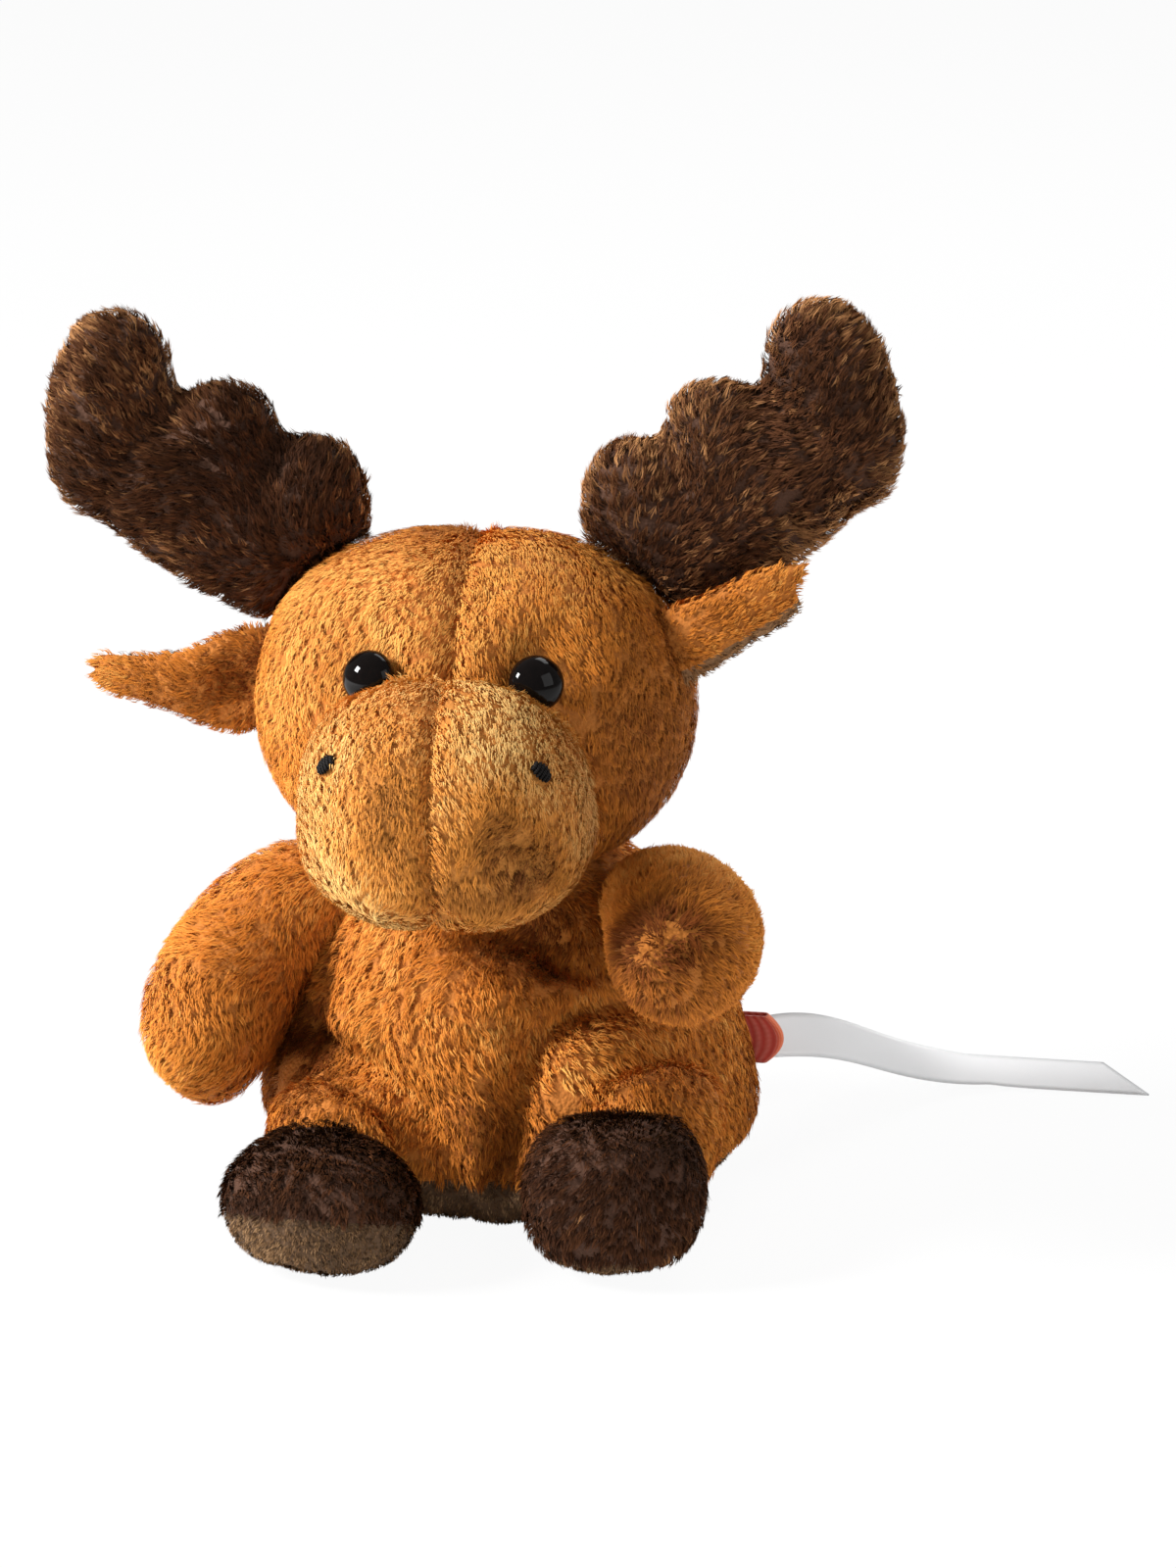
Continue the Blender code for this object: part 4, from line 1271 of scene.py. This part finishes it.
def above_floor(low):
    """Keep pile off an underside."""
    def keep(rows, normals):
        return (rows[:, 2] > low) | (normals[:, 2] > underside_level)
    return keep


def nostril_place(side):
    """Place on the muzzle and outward direction of a nostril's stitches."""
    aim = middle_of("nostril_" + side) - Vector((0.0, nostril_forward, nostril_drop))
    return surface_tree(muzzle).find_nearest(aim)[:2]


nostril_spots = [nostril_place(side)[0] for side in sides]


def parted(spots, radius, middle):
    """Keep pile off round spots and off the seam at the middle of the head's front."""
    def keep(rows, normals):
        from_seam = np.abs((rows - np.array(middle)) @ np.array(head_across))
        free = (from_seam > seam_parting) | (rows[:, 1] > middle.y + seam_back)
        for spot in spots:
            free &= np.linalg.norm(rows - np.array(spot), axis=1) > radius
        return free
    return keep


grow_pile(body, plush_pile, joints["head_turn"] + Vector(body_crown_shift), 11,
          above_floor(body_clearance),
          (head, muzzle, *arms.values(), *legs.values(), *feet.values()),
          cuts=(base_cut,), patches=body_light_shade_patches, beside=(muzzle, *feet.values()),
          folds=body_folds)
grow_pile(base, sole_pile, crowns["base"], 12, above_floor(base_clearance), legs.values(),
          cuts=(base_cut,))
grow_pile(head, head_pile, np.array(head_middle) + head_crown_shift, 13,
          parted(eye_spots, eye_clearance, head_middle), (muzzle, body, *antlers.values()),
          swirl=0.30, burial=head_burial, patches=head_light_shade_patches,
          beside=(muzzle, *antlers.values(), *ears.values()))
grow_pile(muzzle, muzzle_pile, np.array(muzzle_middle) + muzzle_crown_shift, 14,
          parted(nostril_spots, nostril_clearance, muzzle_middle), (head,), swirl=0.30,
          tone_shift=muzzle_tone, patches=muzzle_light_shade_patches)
for number, side in enumerate(sides):
    hoof_crown = crowns["hoof_" + side]
    ear_crown = joints["ear_flap_" + side]
    clear = above_floor(limb_clearance)
    grow_pile(arms[side], arm_pile, crowns["arm_" + side], 20 + number, None, (body, head),
              swirl=0.45, burial=arm_root_burial, patches=arm_light_shade_patches)
    grow_pile(legs[side], plush_pile, crowns["leg_" + side], 30 + number, clear,
              (body, feet[side]), burial=leg_root_burial, patches=leg_painted_shade_patches)
    grow_pile(feet[side], hoof_pile, hoof_crown, 40 + number, clear, (legs[side], body),
              cuts=(sole_cuts[side],), tone_shift=hoof_tone)
    grow_pile(soles[side], sole_pile, hoof_crown, 50 + number, clear, (legs[side], body),
              cuts=(sole_cuts[side],))
    grow_pile(antlers[side], dark_pile, joints["antler_bend_" + side], 60 + number, None,
              (head,), tone_shift=antler_tones[side], painted_rim_light=antler_painted_rim_light, beside=(head,))
    grow_pile(ears[side], ear_pile, ear_crown, 70 + number, None, (head,), swirl=0.4,
              burial=ear_burial, cuts=(ear_cuts[side],), patches=ear_light_shade_patches,
              beside=(head, antlers[side]))
    grow_pile(linings[side], lining_pile, ear_crown, 80 + number, None, (head,),
              burial=ear_burial, cuts=(ear_cuts[side],))


# Eyes, nostrils, neck stuffing, label and ribbon

def average_point(node):
    """Average of a node's vertices, which lies on its axis when it is round."""
    return Vector(points_of(frame["nodes"][node]).mean(axis=0))


def stand(data, place, along):
    """Move geometry made about Z so that it stands at place along a direction."""
    turn = Vector((0.0, 0.0, 1.0)).rotation_difference(along).to_matrix().to_4x4()
    data.transform(Matrix.Translation(place) @ turn)


def build_eye(side, material):
    """Polished dome with a lip, on a ribbed shank."""
    centre = average_point("eye_" + side)
    along = (centre - average_point("eye_washer_" + side)).normalized()
    apex = (points_of(frame["nodes"]["eye_" + side]) @ np.array(along)).max()
    rim = centre + along * (apex - centre.dot(along) - eye_rise)
    profile = []
    for step in range(eye_steps + 1):
        angle = math.pi / 2.0 * (1.0 - step / eye_steps)
        profile.append((eye_radius * math.cos(angle), eye_rise * math.sin(angle)))
    profile.append((eye_radius - eye_lip / eye_lip_round, -eye_lip))
    profile.append((shank_radius * shank_collar_share, -eye_lip * eye_back_share))
    for step in range(shank_ribs * 2):
        height = (-eye_lip * shank_start_share
                  - (shank_length - eye_lip * 2.0) * step / (shank_ribs * 2.0))
        profile.append((shank_radius - shank_rib_height * (step % 2), height))
    profile.append((shank_radius * shank_end_share, -shank_length))
    profile.append((0.0, -shank_length))
    data = bmesh.new()
    line = [data.verts.new((radius, 0.0, height)) for radius, height in profile]
    edges = [data.edges.new(pair) for pair in zip(line, line[1:])]
    bmesh.ops.spin(data, geom=line + edges, cent=(0.0, 0.0, 0.0), axis=(0.0, 0.0, 1.0),
                   angle=math.tau, steps=eye_turns, use_merge=True)
    bmesh.ops.remove_doubles(data, verts=data.verts, dist=weld_distance)
    bmesh.ops.recalc_face_normals(data, faces=data.faces)
    stand(data, rim, along)
    item = new_object("eye_dome_" + side, data, material)
    install(item, "head", "eye_plastic", "eye_" + side)


def build_nostril(side, material):
    """Satin stitch: short threads laid side by side over an oval."""
    point, normal = nostril_place(side)
    data = bmesh.new()
    for number in range(nostril_threads):
        share = (number + 0.5) / nostril_threads * 2.0 - 1.0
        tall = nostril_half_height * math.sqrt(1.0 - share * share * nostril_end_share)
        wide = nostril_half_width / nostril_threads * nostril_overlap
        sizes = Matrix.Diagonal((wide, tall, nostril_proud, 1.0))
        shift = Matrix.Translation((share * nostril_half_width, 0.0,
                                    -share * share * nostril_proud * nostril_curve))
        bmesh.ops.create_uvsphere(data, u_segments=12, v_segments=10, radius=1.0, matrix=shift @ sizes)
    stand(data, point + normal * nostril_rise, normal)
    item = new_object("nostril_stitch_" + side, data, material)
    install(item, "head", "thread", "nostril_" + side)


def build_neck_stuffing(material):
    """Ball of loose fibre in the neck."""
    low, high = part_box("neck_wad")
    data = bmesh.new()
    bmesh.ops.create_icosphere(data, subdivisions=4, radius=(high.x - low.x) / 2.0)
    rows = np.array([point.co for point in data.verts])
    lumps = 1.0 + neck_lump_height * ripple(rows, neck_lump_size, 5) - neck_shrink
    for point, share in zip(data.verts, lumps):
        point.co *= share
    data.transform(Matrix.Translation((low + high) / 2.0))
    item = new_object("neck_stuffing", data, material)
    install(item, "neck", "stuffing", "neck_wad")


def band(name, centres, wides, material, thickness, strands):
    """Flat tape through its centre points, with a chart of its length and width."""
    data = bmesh.new()
    data.loops.layers.uv.new("Cloth")
    steps = len(centres) - 1
    bmesh.ops.create_grid(data, x_segments=steps, y_segments=strands, size=0.5, calc_uvs=True)
    for point in data.verts:
        number = round((point.co.x + 0.5) * steps)
        share = point.co.y + 0.5
        point.co = centres[number] + wides[number] * (share - 0.5)
    item = new_object(name, data, material)
    step = item.modifiers.new("thickness", "SOLIDIFY")
    step.thickness = thickness
    step.offset = 0.0
    bake_modifiers(item)
    return item


def build_label(material):
    """Folded loop of woven tape, standing out of the side seam."""
    low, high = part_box("side_label")
    middle = (low + high) / 2.0
    bend = (high.y - low.y) / 2.0 - label_thickness / 2.0
    tip = high.x - bend - label_thickness
    start = low.x - label_tuck
    straight = [start + (tip - start) * step / label_steps for step in range(label_steps + 1)]
    angles = [-math.pi / 2.0 + math.pi * step / label_turns for step in range(1, label_turns)]
    line = ([(along, -bend) for along in straight]
            + [(tip + bend * math.cos(angle), bend * math.sin(angle)) for angle in angles]
            + [(along, bend) for along in reversed(straight)])
    centres = [Vector((along, middle.y + aside, middle.z)) for along, aside in line]
    wides = [Vector((0.0, 0.0, high.z - low.z)) for _ in centres]
    item = band("label_loop", centres, wides, material, label_thickness, label_strands)
    rows = points_of(item)
    share = (rows[:, 2] - low.z) / (high.z - low.z)
    out = (rows[:, 0] - start) / (high.x - start)
    rows[:, 0] -= label_corner_pull * out * (2.0 * share - 1.0) ** 2
    put_points(item, rows)
    install(item, "body", "label_cloth", "side_label")


def ribbon_path():
    """Centre points and width directions of the ribbon, from its seam to the cut end."""
    across = Vector((1.0, 0.0, 0.0))
    backward = Vector((0.0, 1.0, 0.0))
    up = Vector((0.0, 0.0, 1.0))
    start = joints["ribbon_lift"]
    touch = start + across * ribbon_reach + backward * ribbon_back
    touch.z = ribbon_rise
    end = touch + across * ribbon_floor_length
    leave = (across + backward).normalized()
    land = (across * ribbon_land_aside + backward * ribbon_land_back).normalized()
    bend_a = start + leave * ribbon_back * ribbon_bend_share
    bend_b = touch - land * ribbon_back * ribbon_bend_share + up * ribbon_lift_height

    def point(share):
        if share < 0.0:
            return start + leave * share * ribbon_tuck / ribbon_lap_share / ribbon_laps
        if share >= ribbon_fall_share:
            rest = (share - ribbon_fall_share) / (1.0 - ribbon_fall_share)
            return touch + (end - touch) * rest
        step = share / ribbon_fall_share
        other = 1.0 - step
        return (start * other ** 3 + bend_a * 3.0 * other * other * step
                + bend_b * 3.0 * other * step * step + touch * step ** 3)

    first = -ribbon_laps * ribbon_lap_share
    shares = [first + (1.0 - first) * step / ribbon_steps for step in range(ribbon_steps + 1)]
    centres = [point(share) for share in shares]
    for _ in range(ribbon_evening):
        centres = ([centres[0]] + [(before + here * 2.0 + after) / 4.0 for before, here, after
                                   in zip(centres, centres[1:], centres[2:])] + [centres[-1]])
    wides = []
    for number, share in enumerate(shares):
        ahead = (centres[min(number + 1, ribbon_steps)] - centres[max(number - 1, 0)]).normalized()
        level = up.cross(ahead).normalized()
        rise = ahead.cross(level).normalized()
        falling = min(max(share, 0.0) / ribbon_fall_share, 1.0)
        roll = math.radians(ribbon_roll) * math.sin(falling * math.pi)
        wides.append((level * math.cos(roll) + rise * math.sin(roll)) * ribbon_width)
    return centres, wides


def build_ribbon(material):
    """White satin ribbon from the hip seam to the floor, cut off at a slant."""
    centres, wides = ribbon_path()
    item = band("ribbon_satin", centres, wides, material, ribbon_thickness, ribbon_strands)
    rows = points_of(item)
    end = np.array(centres[-1])
    along = np.array((centres[-1] - centres[-2]).normalized())
    wide = np.array(wides[-1]) / ribbon_width
    reach = (rows - end) @ along
    near = np.clip(1.0 + reach / (ribbon_width * 2.0), 0.0, 1.0)
    rows -= (((rows - end) @ wide) * ribbon_cut_share * 2.0 * near)[:, None] * along
    put_points(item, rows)
    install(item, "ribbon", "ribbon_satin", "ribbon")


eye_plastic = eye_finish()
black_thread = thread_finish()
washer_plastic = washer_finish()
for side in sides:
    build_eye(side, eye_plastic)
    build_nostril(side, black_thread)
    washer = frame["nodes"]["eye_washer_" + side]
    washer.data.materials.clear()
    washer.data.materials.append(washer_plastic)
build_neck_stuffing(wadding_finish())
build_label(label_finish())
build_ribbon(satin_finish())
